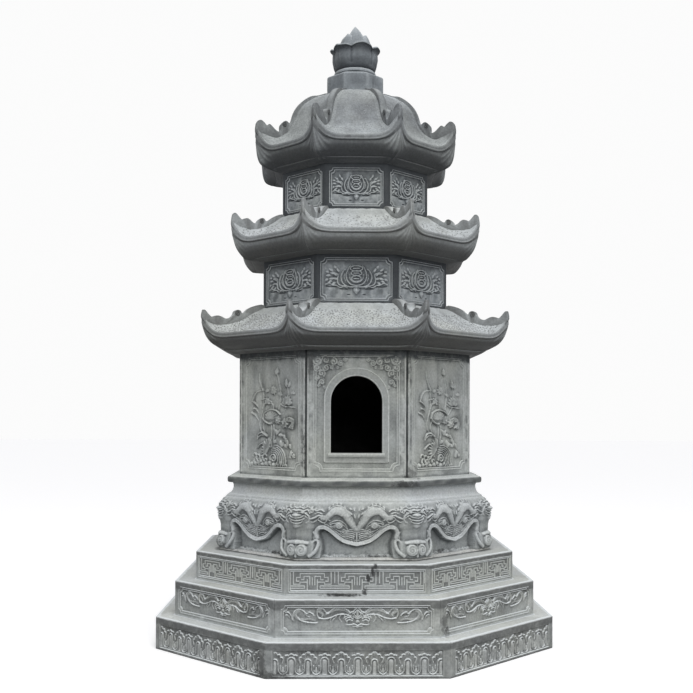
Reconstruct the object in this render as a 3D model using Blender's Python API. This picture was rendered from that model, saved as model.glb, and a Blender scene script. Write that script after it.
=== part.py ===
"""Carved stone stupa: three steps, a carved waist, a hollow body with an arched niche, three roofs, two drums
and a lotus finial. Metres, +Z up, the front face looks towards -Y and the bottom rests on z = 0."""

import math

import bmesh
import bpy

for old in list(bpy.data.objects):
    bpy.data.objects.remove(old, do_unlink=True)

# Shared values
SIDES = 8
HALF = math.pi / SIDES
COS = math.cos(HALF)
TAN = math.tan(HALF)
GAP = 0.0003

# The three steps: face apothem, bottom, top
STEPS = {
    "lower": dict(face=1.300, z0=0.0, z1=0.2107, colour=(0.42, 0.43, 0.42)),
    "middle": dict(face=1.183, z0=0.211, z1=0.4367, colour=(0.44, 0.45, 0.45)),
    "upper": dict(face=1.053, z0=0.437, z1=0.6247, colour=(0.44, 0.46, 0.46)),
}
STEP_INNER = 0.620
STEP_RECESS = 0.010

# Mortar bed and carved waist
BED_FACE = 0.905
BED_Z0, BED_Z1 = 0.625, 0.6417
WAIST = [  # corner radius, height
    (0.990, 0.6420), (0.996, 0.655), (0.990, 0.690), (0.968, 0.740), (0.974, 0.800), (0.992, 0.860),
    (0.996, 0.900), (0.984, 0.940), (0.958, 0.972), (0.945, 0.980), (0.934, 0.981), (0.930, 0.997),
    (0.912, 0.999), (0.894, 1.020), (0.886, 1.045), (0.888, 1.0727),
]
APRON_BACK = 0.860
APRON = [(0.262, 0.60), (0.256, 0.680), (0.234, 0.718), (0.222, 0.744), (0.234, 0.768), (0.251, 0.790),
         (0.250, 0.812), (0.234, 0.826), (0.210, 0.824), (0.182, 0.802), (0.150, 0.772), (0.110, 0.742),
         (0.060, 0.722)]
APRON_LOW = 0.716

# Moulded slab between waist and body
SLAB = [(0.905, 1.073), (0.920, 1.076), (0.927, 1.086), (0.927, 1.106), (0.920, 1.116), (0.902, 1.1197),
        (0.890, 1.1297)]

# Body walls
BODY_FACE, BODY_INNER = 0.776, 0.686
BODY_Z0, BODY_Z1 = 1.130, 1.936
PANEL_HALF, PANEL_Z0, PANEL_Z1, PANEL_NOTCH, PANEL_DEEP = 0.261, 1.181, 1.894, 0.022, 0.008
ARCH_HALF, ARCH_Z0, ARCH_SPRING = 0.1625, 1.283, 1.6105
FRAME_HALF, FRAME_Z0, FRAME_SPRING, FRAME_OUT = 0.2015, 1.227, 1.6185, 0.010
SILL_HALF, SILL_Z0, SILL_OUT = 0.182, 1.260, 0.024

# Drums: face apothem, bottom, top, panel half width, panel bottom, panel top, panel corner notch
DRUM_2 = dict(face=0.624, z0=2.251, z1=2.5647, half=0.222, p0=2.276, p1=2.534, notch=0.020)
DRUM_3 = dict(face=0.497, z0=2.8853, z1=3.184, half=0.168, p0=2.914, p1=3.147, notch=0.018)
DRUM_RECESS = 0.008

# Roofs: rings of (face apothem, face height, corner radius, corner height), lowest first, then the outline of
# the hip band with its scroll and raised tip as (radius, height), and the width of that band
ROOF_1 = [
    (0.820, 1.9363, 0.888, 1.9363), (0.843, 1.946, 0.905, 1.946), (0.862, 1.948, 0.930, 1.949),
    (0.880, 1.965, 0.985, 1.976), (0.925, 1.982, 1.042, 2.006), (0.962, 2.006, 1.080, 2.052),
    (0.978, 2.029, 1.104, 2.130), (0.992, 2.031, 1.109, 2.148), (0.992, 2.065, 1.106, 2.208),
    (0.955, 2.072, 1.050, 2.176), (0.850, 2.115, 0.945, 2.164), (0.770, 2.158, 0.850, 2.188),
    (0.700, 2.205, 0.780, 2.238), (0.648, 2.2507, 0.702, 2.2507),
]
HIP_1 = [
    (0.6764, 2.170), (0.6764, 2.284), (0.772, 2.255), (0.829, 2.211), (0.846, 2.228), (0.865, 2.233),
    (0.884, 2.224), (0.893, 2.201), (0.920, 2.178), (0.950, 2.171), (0.975, 2.182), (0.999, 2.189),
    (1.025, 2.186), (1.048, 2.180), (1.068, 2.200), (1.086, 2.221), (1.098, 2.225), (1.107, 2.216),
    (1.108, 2.160), (1.040, 2.090), (0.940, 2.080), (0.840, 2.080),
]
ROOF_2 = [
    (0.640, 2.5650, 0.693, 2.5650), (0.660, 2.570, 0.710, 2.570), (0.700, 2.575, 0.755, 2.571),
    (0.730, 2.588, 0.808, 2.580), (0.765, 2.612, 0.850, 2.618), (0.790, 2.645, 0.878, 2.664),
    (0.800, 2.673, 0.900, 2.745), (0.812, 2.675, 0.905, 2.775), (0.812, 2.710, 0.906, 2.856),
    (0.780, 2.720, 0.850, 2.834), (0.690, 2.757, 0.758, 2.812), (0.620, 2.795, 0.688, 2.822),
    (0.560, 2.838, 0.622, 2.862), (0.520, 2.8850, 0.563, 2.8850),
]
HIP_2 = [
    (0.5390, 2.820), (0.5390, 2.906), (0.601, 2.887), (0.661, 2.846), (0.680, 2.861), (0.699, 2.864),
    (0.720, 2.850), (0.737, 2.825), (0.759, 2.829), (0.780, 2.846), (0.799, 2.855), (0.822, 2.850),
    (0.841, 2.845), (0.860, 2.866), (0.876, 2.884), (0.890, 2.884), (0.903, 2.862), (0.905, 2.790),
    (0.850, 2.730), (0.760, 2.700), (0.680, 2.700),
]
ROOF_3 = [
    (0.512, 3.1843, 0.555, 3.1843), (0.530, 3.190, 0.573, 3.189), (0.548, 3.205, 0.605, 3.195),
    (0.575, 3.225, 0.662, 3.210), (0.605, 3.247, 0.706, 3.236), (0.630, 3.277, 0.728, 3.290),
    (0.640, 3.300, 0.738, 3.400), (0.652, 3.302, 0.740, 3.425), (0.652, 3.338, 0.738, 3.505),
    (0.622, 3.348, 0.672, 3.486), (0.565, 3.374, 0.614, 3.458), (0.520, 3.410, 0.562, 3.470),
    (0.478, 3.465, 0.512, 3.500), (0.442, 3.545, 0.474, 3.560), (0.410, 3.620, 0.448, 3.625),
    (0.362, 3.682, 0.400, 3.690), (0.290, 3.736, 0.318, 3.742), (0.212, 3.7707, 0.230, 3.7707),
]
HIP_3 = [
    (0.2145, 3.735), (0.2145, 3.790), (0.289, 3.758), (0.335, 3.742), (0.382, 3.714), (0.430, 3.668),
    (0.462, 3.612), (0.480, 3.555), (0.495, 3.532), (0.520, 3.546), (0.540, 3.540), (0.560, 3.515),
    (0.562, 3.480), (0.576, 3.466), (0.600, 3.476), (0.626, 3.500), (0.644, 3.510), (0.664, 3.500),
    (0.682, 3.518), (0.704, 3.534), (0.724, 3.524), (0.738, 3.495), (0.738, 3.440), (0.690, 3.390),
    (0.590, 3.380), (0.500, 3.400), (0.420, 3.560), (0.340, 3.660),
]
# Towards its outer end a hip band is pointed in plan: its sides start to fall back at this share of the reach
HIP_NOSE = 0.90
HIP_WIDTH = {"roof_1": 0.060, "roof_2": 0.054, "roof_3": 0.048}
EAVE_PARTS = 10
EAVE_POWER = 4.5

# Neck and lotus finial
NECK = [(0.206, 3.7710), (0.213, 3.777), (0.213, 3.884), (0.209, 3.893), (0.174, 3.922), (0.152, 3.940),
        (0.152, 3.9497)]
BOWL = [  # radius, height, how far the petals lobe the ring, how far the petal tips lift
    (0.130, 3.9500, 0.000, 0.000), (0.142, 3.964, 0.002, 0.000), (0.150, 3.990, 0.005, 0.000),
    (0.156, 4.025, 0.008, 0.000), (0.156, 4.055, 0.010, 0.000), (0.153, 4.074, 0.013, 0.006),
    (0.160, 4.084, 0.018, 0.018), (0.169, 4.088, 0.020, 0.024), (0.161, 4.096, 0.020, 0.026),
    (0.146, 4.084, 0.014, 0.014), (0.130, 4.060, 0.008, 0.000), (0.116, 4.0400, 0.000, 0.000),
]
BUD = [(0.098, 4.0403, 0.000, 0.0), (0.112, 4.070, 0.003, 0.0), (0.118, 4.110, 0.006, 0.0),
       (0.112, 4.150, 0.008, 0.0), (0.100, 4.185, 0.010, 0.0), (0.080, 4.208, 0.009, 0.0),
       (0.052, 4.240, 0.004, 0.0), (0.010, 4.2790, 0.000, 0.0)]
PETALS = 6


def stone(name, colour, rough=0.8):
    """A material of its own for one named piece."""
    material = bpy.data.materials.new(name + "_stone")
    material.use_nodes = True
    shader = material.node_tree.nodes["Principled BSDF"]
    shader.inputs["Base Color"].default_value = (*colour, 1.0)
    shader.inputs["Roughness"].default_value = rough
    return material


def solid(name, points, faces, colour=None):
    """One object from points and faces with every face turned outwards; no colour makes it a hidden cutter."""
    mesh = bpy.data.meshes.new(name)
    shape = bmesh.new()
    made = [shape.verts.new(point) for point in points]
    for face in faces:
        shape.faces.new([made[i] for i in face])
    bmesh.ops.recalc_face_normals(shape, faces=shape.faces)
    bmesh.ops.triangulate(shape, faces=[f for f in shape.faces if len(f.verts) > 4])
    shape.to_mesh(mesh)
    shape.free()
    obj = bpy.data.objects.new(name, mesh)
    bpy.context.scene.collection.objects.link(obj)
    if colour is None:
        obj.hide_render = True
        obj.display_type = "WIRE"
    else:
        mesh.materials.append(stone(name, colour))
    return obj


def turned(points, side):
    """Points drawn for the front face, turned to face number `side`."""
    angle = side * 2 * HALF
    c, s = math.cos(angle), math.sin(angle)
    return [(x * c - y * s, x * s + y * c, z) for x, y, z in points]


def tube_faces(count, rings):
    """Faces of a closed body made of `rings` rings of `count` points, capped at both ends."""
    faces = [tuple(range(count)), tuple((rings - 1) * count + i for i in range(count))]
    for ring in range(rings - 1):
        for i in range(count):
            j = (i + 1) % count
            a, b = ring * count, (ring + 1) * count
            faces.append((a + i, a + j, b + j, b + i))
    return faces


def eight_sided(profile):
    """Points of an upright eight-sided body from (corner radius, height) pairs."""
    points = []
    for radius, z in profile:
        for k in range(SIDES):
            angle = -math.pi / 2 + HALF + 2 * HALF * k
            points.append((radius * math.cos(angle), radius * math.sin(angle), z))
    return points


def upright(name, profile, colour):
    return solid(name, eight_sided(profile), tube_faces(SIDES, len(profile)), colour)


def plate(outline, y_front, y_back, side):
    """An outline of (x, z) pairs on the front face, pushed from y_front to y_back, then turned to a side."""
    points = [(x, y_front, z) for x, z in outline] + [(x, y_back, z) for x, z in outline]
    return turned(points, side)


def cutter(name, outline, y_front, y_back, side):
    return solid(name, plate(outline, y_front, y_back, side), tube_faces(len(outline), 2))


def combine(obj, operation, other):
    step = obj.modifiers.new(other.name, "BOOLEAN")
    step.operation = operation
    step.solver = "EXACT"
    step.object = other


def notched(half, z0, z1, notch):
    """A rectangle with a small square step cut into each corner."""
    right = [(half - notch, z0), (half - notch, z0 + notch), (half, z0 + notch),
             (half, z1 - notch), (half - notch, z1 - notch), (half - notch, z1)]
    return right + [(-x, z) for x, z in reversed(right)]


def rectangle(half, z0, z1):
    return [(-half, z0), (half, z0), (half, z1), (-half, z1)]


def arch(half, z0, spring, parts=20):
    """A doorway outline: upright sides and a half-round top."""
    top = [(half * math.cos(math.pi * i / parts), spring + half * math.sin(math.pi * i / parts))
           for i in range(parts + 1)]
    return [(-half, z0), (half, z0)] + top


def side_block(name, face, inner, z0, z1, side, colour):
    """A block for one of the eight sides, its ends cut on the lines to the corners with a thin joint."""
    joint = GAP / 2 / COS
    plan = [(-face * TAN + joint, -face), (face * TAN - joint, -face),
            (inner * TAN - joint, -inner), (-inner * TAN + joint, -inner)]
    points = [(x, y, z0) for x, y in plan] + [(x, y, z1) for x, y in plan]
    return solid(name, turned(points, side), tube_faces(4, 2), colour)


# The three steps, eight side stones each, round a plain core
for level, step in STEPS.items():
    face, z0, z1 = step["face"], step["z0"], step["z1"]
    half = face * TAN
    for side in range(SIDES):
        name = f"{level}_step_{side + 1}"
        block = side_block(name, face, STEP_INNER, z0, z1, side, step["colour"])
        if level == "lower":
            outline = rectangle(half - 0.035, z0 + 0.012, z1 - 0.043)
        elif level == "middle":
            outline = notched(half - 0.050, z0 + 0.032, z1 - 0.044, 0.018)
        else:
            outline = rectangle(half - 0.038, z0 + 0.022, z1 - 0.045)
        cut = cutter(name + "_cut", outline, -face - 0.05, -face + STEP_RECESS, side)
        combine(block, "DIFFERENCE", cut)
core = (STEP_INNER - GAP) / COS
upright("step_core", [(core, 0.0), (core, STEPS["upper"]["z1"])], (0.40, 0.40, 0.39))

# Mortar bed, carved waist with its aprons and feet, moulded slab
bed = BED_FACE / COS
upright("mortar_bed", [(bed, BED_Z0), (bed - 0.006, BED_Z1)], (0.50, 0.50, 0.48))
waist = upright("waist", WAIST, (0.46, 0.48, 0.48))
apron = APRON + [(0.0, APRON_LOW)] + [(-x, z) for x, z in reversed(APRON)]
for side in range(SIDES):
    combine(waist, "DIFFERENCE", cutter(f"apron_cut_{side + 1}", apron, -1.10, -APRON_BACK, side))
upright("moulded_slab", SLAB, (0.45, 0.47, 0.47))

# Body walls; the front one carries the arched niche
panel = notched(PANEL_HALF, PANEL_Z0, PANEL_Z1, PANEL_NOTCH)
for side in range(SIDES):
    name = "front_wall" if side == 0 else f"side_wall_{side}"
    wall = side_block(name, BODY_FACE, BODY_INNER, BODY_Z0, BODY_Z1, side, (0.43, 0.45, 0.45))
    combine(wall, "DIFFERENCE", cutter(name + "_panel", panel, -BODY_FACE - 0.05, -BODY_FACE + PANEL_DEEP, side))
    if side == 0:
        frame = arch(FRAME_HALF, FRAME_Z0, FRAME_SPRING)
        sill = rectangle(SILL_HALF, SILL_Z0, ARCH_Z0 + 0.004)
        hole = arch(ARCH_HALF, ARCH_Z0, ARCH_SPRING)
        combine(wall, "UNION", cutter("niche_frame", frame, -BODY_FACE - FRAME_OUT, -BODY_FACE + 0.03, 0))
        combine(wall, "UNION", cutter("niche_sill", sill, -BODY_FACE - SILL_OUT, -BODY_FACE + 0.03, 0))
        combine(wall, "DIFFERENCE", cutter("niche_hole", hole, -BODY_FACE - 0.2, -BODY_INNER + 0.2, 0))


def drum(name, spec):
    radius = spec["face"] / COS
    body = upright(name, [(radius, spec["z0"]), (radius, spec["z1"])], (0.36, 0.38, 0.39))
    outline = notched(spec["half"], spec["p0"], spec["p1"], spec["notch"])
    for side in range(SIDES):
        y = -spec["face"]
        combine(body, "DIFFERENCE", cutter(f"{name}_panel_{side + 1}", outline, y - 0.05, y + DRUM_RECESS, side))


def roof(name, rings, hip, colour):
    """A roof with swept eaves: each ring runs from its face height up to its corner height, then every corner
    gets an upright band with a scroll and a raised tip. Points lie closer together near the corners."""
    points = []
    for face, z_face, corner, z_corner in rings:
        for side in range(SIDES):
            row = []
            for i in range(EAVE_PARTS):
                even = 2 * i / EAVE_PARTS - 1
                t = math.copysign(1 - (1 - abs(even)) ** 1.6, even)
                lift = abs(t) ** EAVE_POWER
                a = face + (corner * COS - face) * lift
                row.append((a * TAN * t, -a, z_face + (z_corner - z_face) * lift))
            points += turned(row, side)
    body = solid(name, points, tube_faces(SIDES * EAVE_PARTS, len(rings)), colour)
    wide = HIP_WIDTH[name] / 2
    for k in range(SIDES):
        angle = -math.pi / 2 + HALF + 2 * HALF * k
        c, s = math.cos(angle), math.sin(angle)
        band = []
        reach = max(r for r, _ in hip)
        for offset in (-wide, 0.0, wide):
            back = TAN * abs(offset) / (reach * (1 - HIP_NOSE))
            line = [(r - back * max(0.0, r - reach * HIP_NOSE), z) for r, z in hip]
            band += [(r * c - offset * s, r * s + offset * c, z) for r, z in line]
        combine(body, "UNION", solid(f"{name}_hip_{k + 1}", band, tube_faces(len(hip), 3)))


def lobed(name, rings, count, colour):
    """A round body whose rings swell and lift at each petal; two petals meet at the front."""
    around = count * 8
    points = []
    for radius, z, lobe, lift in rings:
        for i in range(around):
            angle = -math.pi / 2 + 2 * math.pi * i / around
            swell = abs(math.sin(count * (angle + math.pi / 2) / 2)) ** 0.8
            r = radius + lobe * (swell - 0.5)
            points.append((r * math.cos(angle), r * math.sin(angle), z + lift * swell))
    return solid(name, points, tube_faces(around, len(rings)), colour)


drum("drum_2", DRUM_2)
drum("drum_3", DRUM_3)
roof("roof_1", ROOF_1, HIP_1, (0.46, 0.48, 0.48))
roof("roof_2", ROOF_2, HIP_2, (0.46, 0.48, 0.49))
roof("roof_3", ROOF_3, HIP_3, (0.40, 0.42, 0.43))
upright("finial_neck", NECK, (0.37, 0.40, 0.42))
lobed("lotus_bowl", BOWL, PETALS, (0.33, 0.36, 0.38))
lobed("lotus_bud", BUD, PETALS, (0.36, 0.39, 0.41))
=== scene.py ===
# %% [markdown]
# # A carved stone stupa
# The real thing is cut from blue-grey limestone: three steps made of eight side stones each, a carved waist on
# scrolled feet, a hollow body with one arched niche, three roofs with raised corners, two drums and a lotus on
# top. Every face carries carving a few millimetres deep. The solids of the model give each stone its place; here
# each stone gets its carved skin.

# %% Load the frame
import math

import bmesh
import bpy
import numpy as np
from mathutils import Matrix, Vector


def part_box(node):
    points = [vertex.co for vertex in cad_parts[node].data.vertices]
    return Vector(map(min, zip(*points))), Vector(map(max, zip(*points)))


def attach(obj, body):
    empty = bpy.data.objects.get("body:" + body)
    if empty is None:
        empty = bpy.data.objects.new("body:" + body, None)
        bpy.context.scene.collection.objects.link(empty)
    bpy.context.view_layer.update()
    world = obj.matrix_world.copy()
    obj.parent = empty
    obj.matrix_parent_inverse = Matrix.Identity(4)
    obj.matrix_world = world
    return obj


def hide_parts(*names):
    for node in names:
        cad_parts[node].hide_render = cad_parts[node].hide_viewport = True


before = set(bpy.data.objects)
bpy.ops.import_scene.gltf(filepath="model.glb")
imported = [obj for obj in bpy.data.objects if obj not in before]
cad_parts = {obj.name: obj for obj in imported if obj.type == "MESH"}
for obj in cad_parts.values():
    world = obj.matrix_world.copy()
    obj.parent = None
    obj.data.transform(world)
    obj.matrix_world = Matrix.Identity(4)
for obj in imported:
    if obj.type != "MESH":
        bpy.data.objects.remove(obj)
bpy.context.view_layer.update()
print("frame loaded:", len(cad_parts), "stones")

# %% [markdown]
# ## One face stands for eight
# The stupa has eight equal sides, so each carving is drawn once on the front face, which looks towards -Y, and
# then turned about the upright axis. A point on a face is told by x across it and z up it. The distance from the
# axis to the middle of a face is called `face` here, and half the width of a face is `face * TAN`.

# %% Eight sides
SIDES = 8
HALF = math.pi / SIDES
COS, SIN, TAN = math.cos(HALF), math.sin(HALF), math.tan(HALF)
JOINT = 0.0008


def spin(points, angle):
    """Points turned about the upright axis by an angle in radians."""
    c, s = math.cos(angle), math.sin(angle)
    x, y, z = points[..., 0], points[..., 1], points[..., 2]
    return np.stack([x * c - y * s, x * s + y * c, z], axis=-1)


def turn(points, side):
    """Points drawn on the front face, turned to face number `side`."""
    return spin(points, 2 * HALF * side)


def levels(node):
    """Lowest and highest z of a stone of the frame."""
    low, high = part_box(node)
    return low[2], high[2]


# %% [markdown]
# ## Drawing carvings as heights
# A carver works inwards from a flat face, so each face is a grid of heights, like a small landscape. The class
# below draws on such a grid: raised lines with a round back, leaves and petals with a rib, domes and spirals.
# Working with whole arrays is far quicker than moving points one by one, and every motif stays a short recipe.

# %% Small helpers for curves
def smooth(points, count=48):
    """A smooth curve (Catmull-Rom) through the points."""
    p = np.asarray(points, float)
    p = np.vstack([2 * p[0] - p[1], p, 2 * p[-1] - p[-2]])
    t = np.linspace(0, len(p) - 3 - 1e-9, count)
    k = t.astype(int)
    f = (t - k)[:, None]
    a, b, c, d = p[k], p[k + 1], p[k + 2], p[k + 3]
    return 0.5 * (2 * b + (c - a) * f + (2 * a - 5 * b + 4 * c - d) * f ** 2 + (3 * b - a - 3 * c + d) * f ** 3)


def arc(cx, cz, radius, start, end, count=16):
    """Points on an arc, angles in degrees from +x."""
    a = np.radians(np.linspace(start, end, count))
    return np.stack([cx + radius * np.cos(a), cz + radius * np.sin(a)], axis=1)


def spiral(cx, cz, radius, turns, start=0.0, hand=1, count=40):
    """A spiral that winds inwards from `radius`."""
    t = np.linspace(0, 1, count)
    a = math.radians(start) + hand * t * turns * 2 * math.pi
    r = radius * (1 - 0.86 * t)
    return np.stack([cx + r * np.cos(a), cz + r * np.sin(a)], axis=1)


def mirror(points):
    return np.asarray(points) * [-1, 1]


def ripple(x, z, size, seed):
    """Soft irregular variation between about -1 and 1, with features of the given size in metres."""
    rng = np.random.default_rng(seed)
    total = np.zeros_like(x)
    for _ in range(7):
        angle, phase, scale = rng.uniform(0, 6.283), rng.uniform(0, 6.283), rng.uniform(0.6, 1.7)
        k = 2 * math.pi / (size * scale)
        total += np.sin(k * (x * math.cos(angle) + z * math.sin(angle)) + phase)
    return total / 3.2


# %% The drawing board
class Face:
    """Heights over one face, in metres above the carved ground, drawn with strokes, leaves, domes and spirals."""

    def __init__(self, half, z0, z1, step, edge=0.003):
        across = max(8, round(2 * half / step))
        up = max(6, round((z1 - z0) / step))
        rim = np.array([0.0, 0.25, 0.6, 1.0]) * edge
        self.xs = np.concatenate([-half + rim, np.linspace(-half + 2 * edge, half - 2 * edge, across),
                                  half - rim[::-1]])
        self.zs = np.concatenate([z0 + rim, np.linspace(z0 + 2 * edge, z1 - 2 * edge, up), z1 - rim[::-1]])
        self.x, self.z = np.meshgrid(self.xs, self.zs)
        self.h = np.zeros_like(self.x)
        self.half, self.z0, self.z1 = half, z0, z1

    def window(self, points, reach):
        """The part of the grid that lies near some points."""
        low, high = np.min(points, axis=0) - reach, np.max(points, axis=0) + reach
        i0, i1 = np.searchsorted(self.zs, [low[1], high[1]])
        j0, j1 = np.searchsorted(self.xs, [low[0], high[0]])
        return np.s_[max(i0 - 1, 0):i1 + 1, max(j0 - 1, 0):j1 + 1]

    def distance(self, points, part):
        """Distance from each grid point of a part to a line through the points, and how far along it is."""
        x, z = self.x[part][..., None], self.z[part][..., None]
        a, b = points[:-1], points[1:]
        d = b - a
        length = np.maximum((d ** 2).sum(axis=1), 1e-12)
        t = np.clip(((x - a[:, 0]) * d[:, 0] + (z - a[:, 1]) * d[:, 1]) / length, 0, 1)
        away = np.hypot(x - a[:, 0] - t * d[:, 0], z - a[:, 1] - t * d[:, 1])
        near = away.argmin(axis=-1)
        away = np.take_along_axis(away, near[..., None], -1)[..., 0]
        along = (near + np.take_along_axis(t, near[..., None], -1)[..., 0]) / len(a)
        return away, along

    def line(self, points, width, height, taper=(1.0, 1.0), base=0.0):
        """A raised line with a round back; width is its half width."""
        points = np.asarray(points, float)
        part = self.window(points, width * max(taper))
        away, along = self.distance(points, part)
        w = width * (taper[0] + (taper[1] - taper[0]) * along)
        body = np.sqrt(np.maximum(0, 1 - (away / np.maximum(w, 1e-6)) ** 2))
        new = base * (body > 0) + height * body * np.sqrt(w / (width * max(taper)))
        self.h[part] = np.maximum(self.h[part], new)

    def both(self, points, *args, **kwargs):
        """The same line on both halves of the face."""
        self.line(points, *args, **kwargs)
        self.line(mirror(points), *args, **kwargs)

    def groove(self, points, width, depth):
        """A cut line with a V bottom."""
        points = np.asarray(points, float)
        part = self.window(points, width)
        away, _ = self.distance(points, part)
        self.h[part] -= depth * np.maximum(0, 1 - away / width)

    def leaf(self, at, angle, length, width, height, bend=0.0, ribs=3, base=0.0, shape=0.8):
        """A pointed leaf or petal that starts at `at` and points along `angle` (degrees from up, to the right)."""
        a = math.radians(angle)
        tip = np.array([at, (at[0] + length * math.sin(a), at[1] + length * math.cos(a))])
        part = self.window(tip, width + abs(bend) * length)
        dx, dz = self.x[part] - at[0], self.z[part] - at[1]
        u = (dx * math.sin(a) + dz * math.cos(a)) / length
        v = dx * math.cos(a) - dz * math.sin(a) - bend * length * u ** 2
        half = width * np.sin(np.pi * np.clip(u, 0, 1) ** shape)
        inside = (u > 0) & (u < 1) & (np.abs(v) < half)
        q = np.where(inside, v / np.maximum(half, 1e-6), 0)
        body = height * np.sqrt(np.maximum(0, 1 - q ** 2)) * (1 - 0.25 * u)
        for k in range(ribs):
            line = (k + 1) / (ribs + 1) * 2 - 1
            body -= 0.22 * height * np.exp(-((q - line * (1 - 0.5 * u)) * half / 0.0022) ** 2)
        self.h[part] = np.where(inside, np.maximum(self.h[part], base + body), self.h[part])

    def leaves(self, at, angle, *args, bend=0.0, **kwargs):
        """The same leaf on both halves of the face."""
        for s in (1, -1):
            self.leaf((s * at[0], at[1]), s * angle, *args, bend=s * bend, **kwargs)

    def dome(self, at, radius, height, base=0.0, squash=1.0):
        """A round boss; `squash` makes it wider than high."""
        part = self.window(np.array([at]), radius * max(1, squash))
        r = np.hypot((self.x[part] - at[0]) / squash, self.z[part] - at[1]) / radius
        self.h[part] = np.maximum(self.h[part], np.where(r < 1, base + height * np.sqrt(np.maximum(0, 1 - r ** 2)), 0))

    def domes(self, at, *args, **kwargs):
        """The same dome on both halves of the face."""
        for s in (1, -1):
            self.dome((s * at[0], at[1]), *args, **kwargs)

    def pad(self, points, width, height, edge):
        """A broad raised band with a flat back and soft edges."""
        points = np.asarray(points, float)
        part = self.window(points, width)
        away, _ = self.distance(points, part)
        self.h[part] = np.maximum(self.h[part], height * ease((width - away) / edge))

    def tone(self, reach=7, strength=260.0):
        """How pale (+) or dark (-) the stone looks: crests are paler with wear and a painted highlight, hollows darker
        with dirt and painted shade.
        """
        padded = np.pad(self.h, reach, mode="edge")
        total = padded.cumsum(axis=0).cumsum(axis=1)
        total = np.pad(total, ((1, 0), (1, 0)))
        n = 2 * reach + 1
        mean = (total[n:, n:] - total[:-n, n:] - total[n:, :-n] + total[:-n, :-n]) / n ** 2
        return np.clip((self.h - mean) * strength, -1, 1)


def pen(draw, place, taper=(1.0, 1.0)):
    """A short call for smooth lines: `place` turns the points of a drawing into metres, `draw` draws them."""
    def stroke(count, width, height, *points, taper=taper):
        draw(smooth(place(*points), count), width, height, taper=taper)

    return stroke


print("drawing board ready")

# %% [markdown]
# ## From a drawing to a stone
# A stone is a closed block whose front is the grid of heights. Its long edges are rounded a little, with a few
# chips, and its ends are cut on the lines to the corners of the stupa, so eight of them close a ring. The flat
# parts of a fine grid don't need all their points, so Decimate thins the finished mesh; the values that end in
# KEPT say what share of the faces stays.

# %% Meshes from grids
def shaped(mesh, kind, inputs=(), **settings):
    """What a modifier makes of a mesh, as a plain mesh; a geometry tree's inputs are given by identifier."""
    holder = bpy.data.objects.new("holder", mesh)
    bpy.context.scene.collection.objects.link(holder)
    step = holder.modifiers.new("step", kind)
    for key, value in settings.items():
        setattr(step, key, value)
    for identifier, value in dict(inputs).items():
        step[identifier] = value
    bpy.context.view_layer.update()
    made = bpy.data.meshes.new_from_object(holder.evaluated_get(bpy.context.evaluated_depsgraph_get()))
    holder.modifiers.remove(step)
    bpy.data.objects.remove(holder, do_unlink=True)
    return made


def mesh_of(name, points, faces, ratio=None, sharp=38, tone=None):
    """A mesh from arrays, with its faces turned outwards and its crisp edges kept crisp.

    `tone` gives each point a value from -1 (dark) to 1 (pale) that the stone's finish reads."""
    mesh = bpy.data.meshes.new(name)
    mesh.from_pydata([tuple(p) for p in np.asarray(points)], [], faces)
    if tone is not None:
        mesh.attributes.new("tone", "FLOAT", "POINT").data.foreach_set("value", np.asarray(tone, np.float32).ravel())
    if ratio:
        heavy, mesh = mesh, shaped(mesh, "DECIMATE", ratio=ratio)
        bpy.data.meshes.remove(heavy)
        mesh.name = name
    work = bmesh.new()
    work.from_mesh(mesh)
    bmesh.ops.remove_doubles(work, verts=work.verts, dist=1e-6)
    bmesh.ops.recalc_face_normals(work, faces=work.faces)
    work.to_mesh(mesh)
    work.free()
    mesh.shade_smooth()
    mesh.set_sharp_from_angle(angle=math.radians(sharp))
    return mesh


def moved_copy(mesh, name, move):
    """A copy of a mesh whose points are moved by a function."""
    copy = mesh.copy()
    copy.name = name
    co = np.empty(len(copy.vertices) * 3)
    copy.vertices.foreach_get("co", co)
    copy.vertices.foreach_set("co", move(co.reshape(-1, 3)).ravel())
    copy.update()
    return copy


def turned_copy(mesh, name, side):
    """The same carving on another side of the stupa."""
    return moved_copy(mesh, name, lambda points: turn(points, side))


def sheet_faces(k):
    """Faces between neighbours in a grid of point numbers."""
    return np.stack([k[:-1, :-1], k[:-1, 1:], k[1:, 1:], k[1:, :-1]], axis=-1).reshape(-1, 4).tolist()


def grid_faces(rows, cols):
    """Faces of a sheet of rows by cols points."""
    return sheet_faces(np.arange(rows * cols).reshape(rows, cols))


def tube_faces(rows, count):
    """Faces of a closed tube: rings of points, one above the other, with a flat cap at each end."""
    k = np.arange(rows * count).reshape(rows, count)
    return sheet_faces(np.concatenate([k, k[:, :1]], axis=1)) + [k[0].tolist()[::-1], k[-1].tolist()]


def all_round(points):
    """Rows of points on the front face, repeated on all eight sides."""
    return np.concatenate([turn(points, side) for side in range(SIDES)], axis=1)


def worn_edges(board, radius, seed):
    """How far the rim of a face falls back: a small round with chips here and there."""
    gap = np.minimum(np.minimum(board.half - np.abs(board.x), board.z - board.z0), board.z1 - board.z)
    chips = np.maximum(0, ripple(board.x, board.z, 0.05, seed) - 0.75) * 2.2
    r = radius * (1 + chips)
    t = np.clip(1 - gap / r, 0, 1)
    return r * (1 - np.sqrt(1 - t ** 2))


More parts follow.
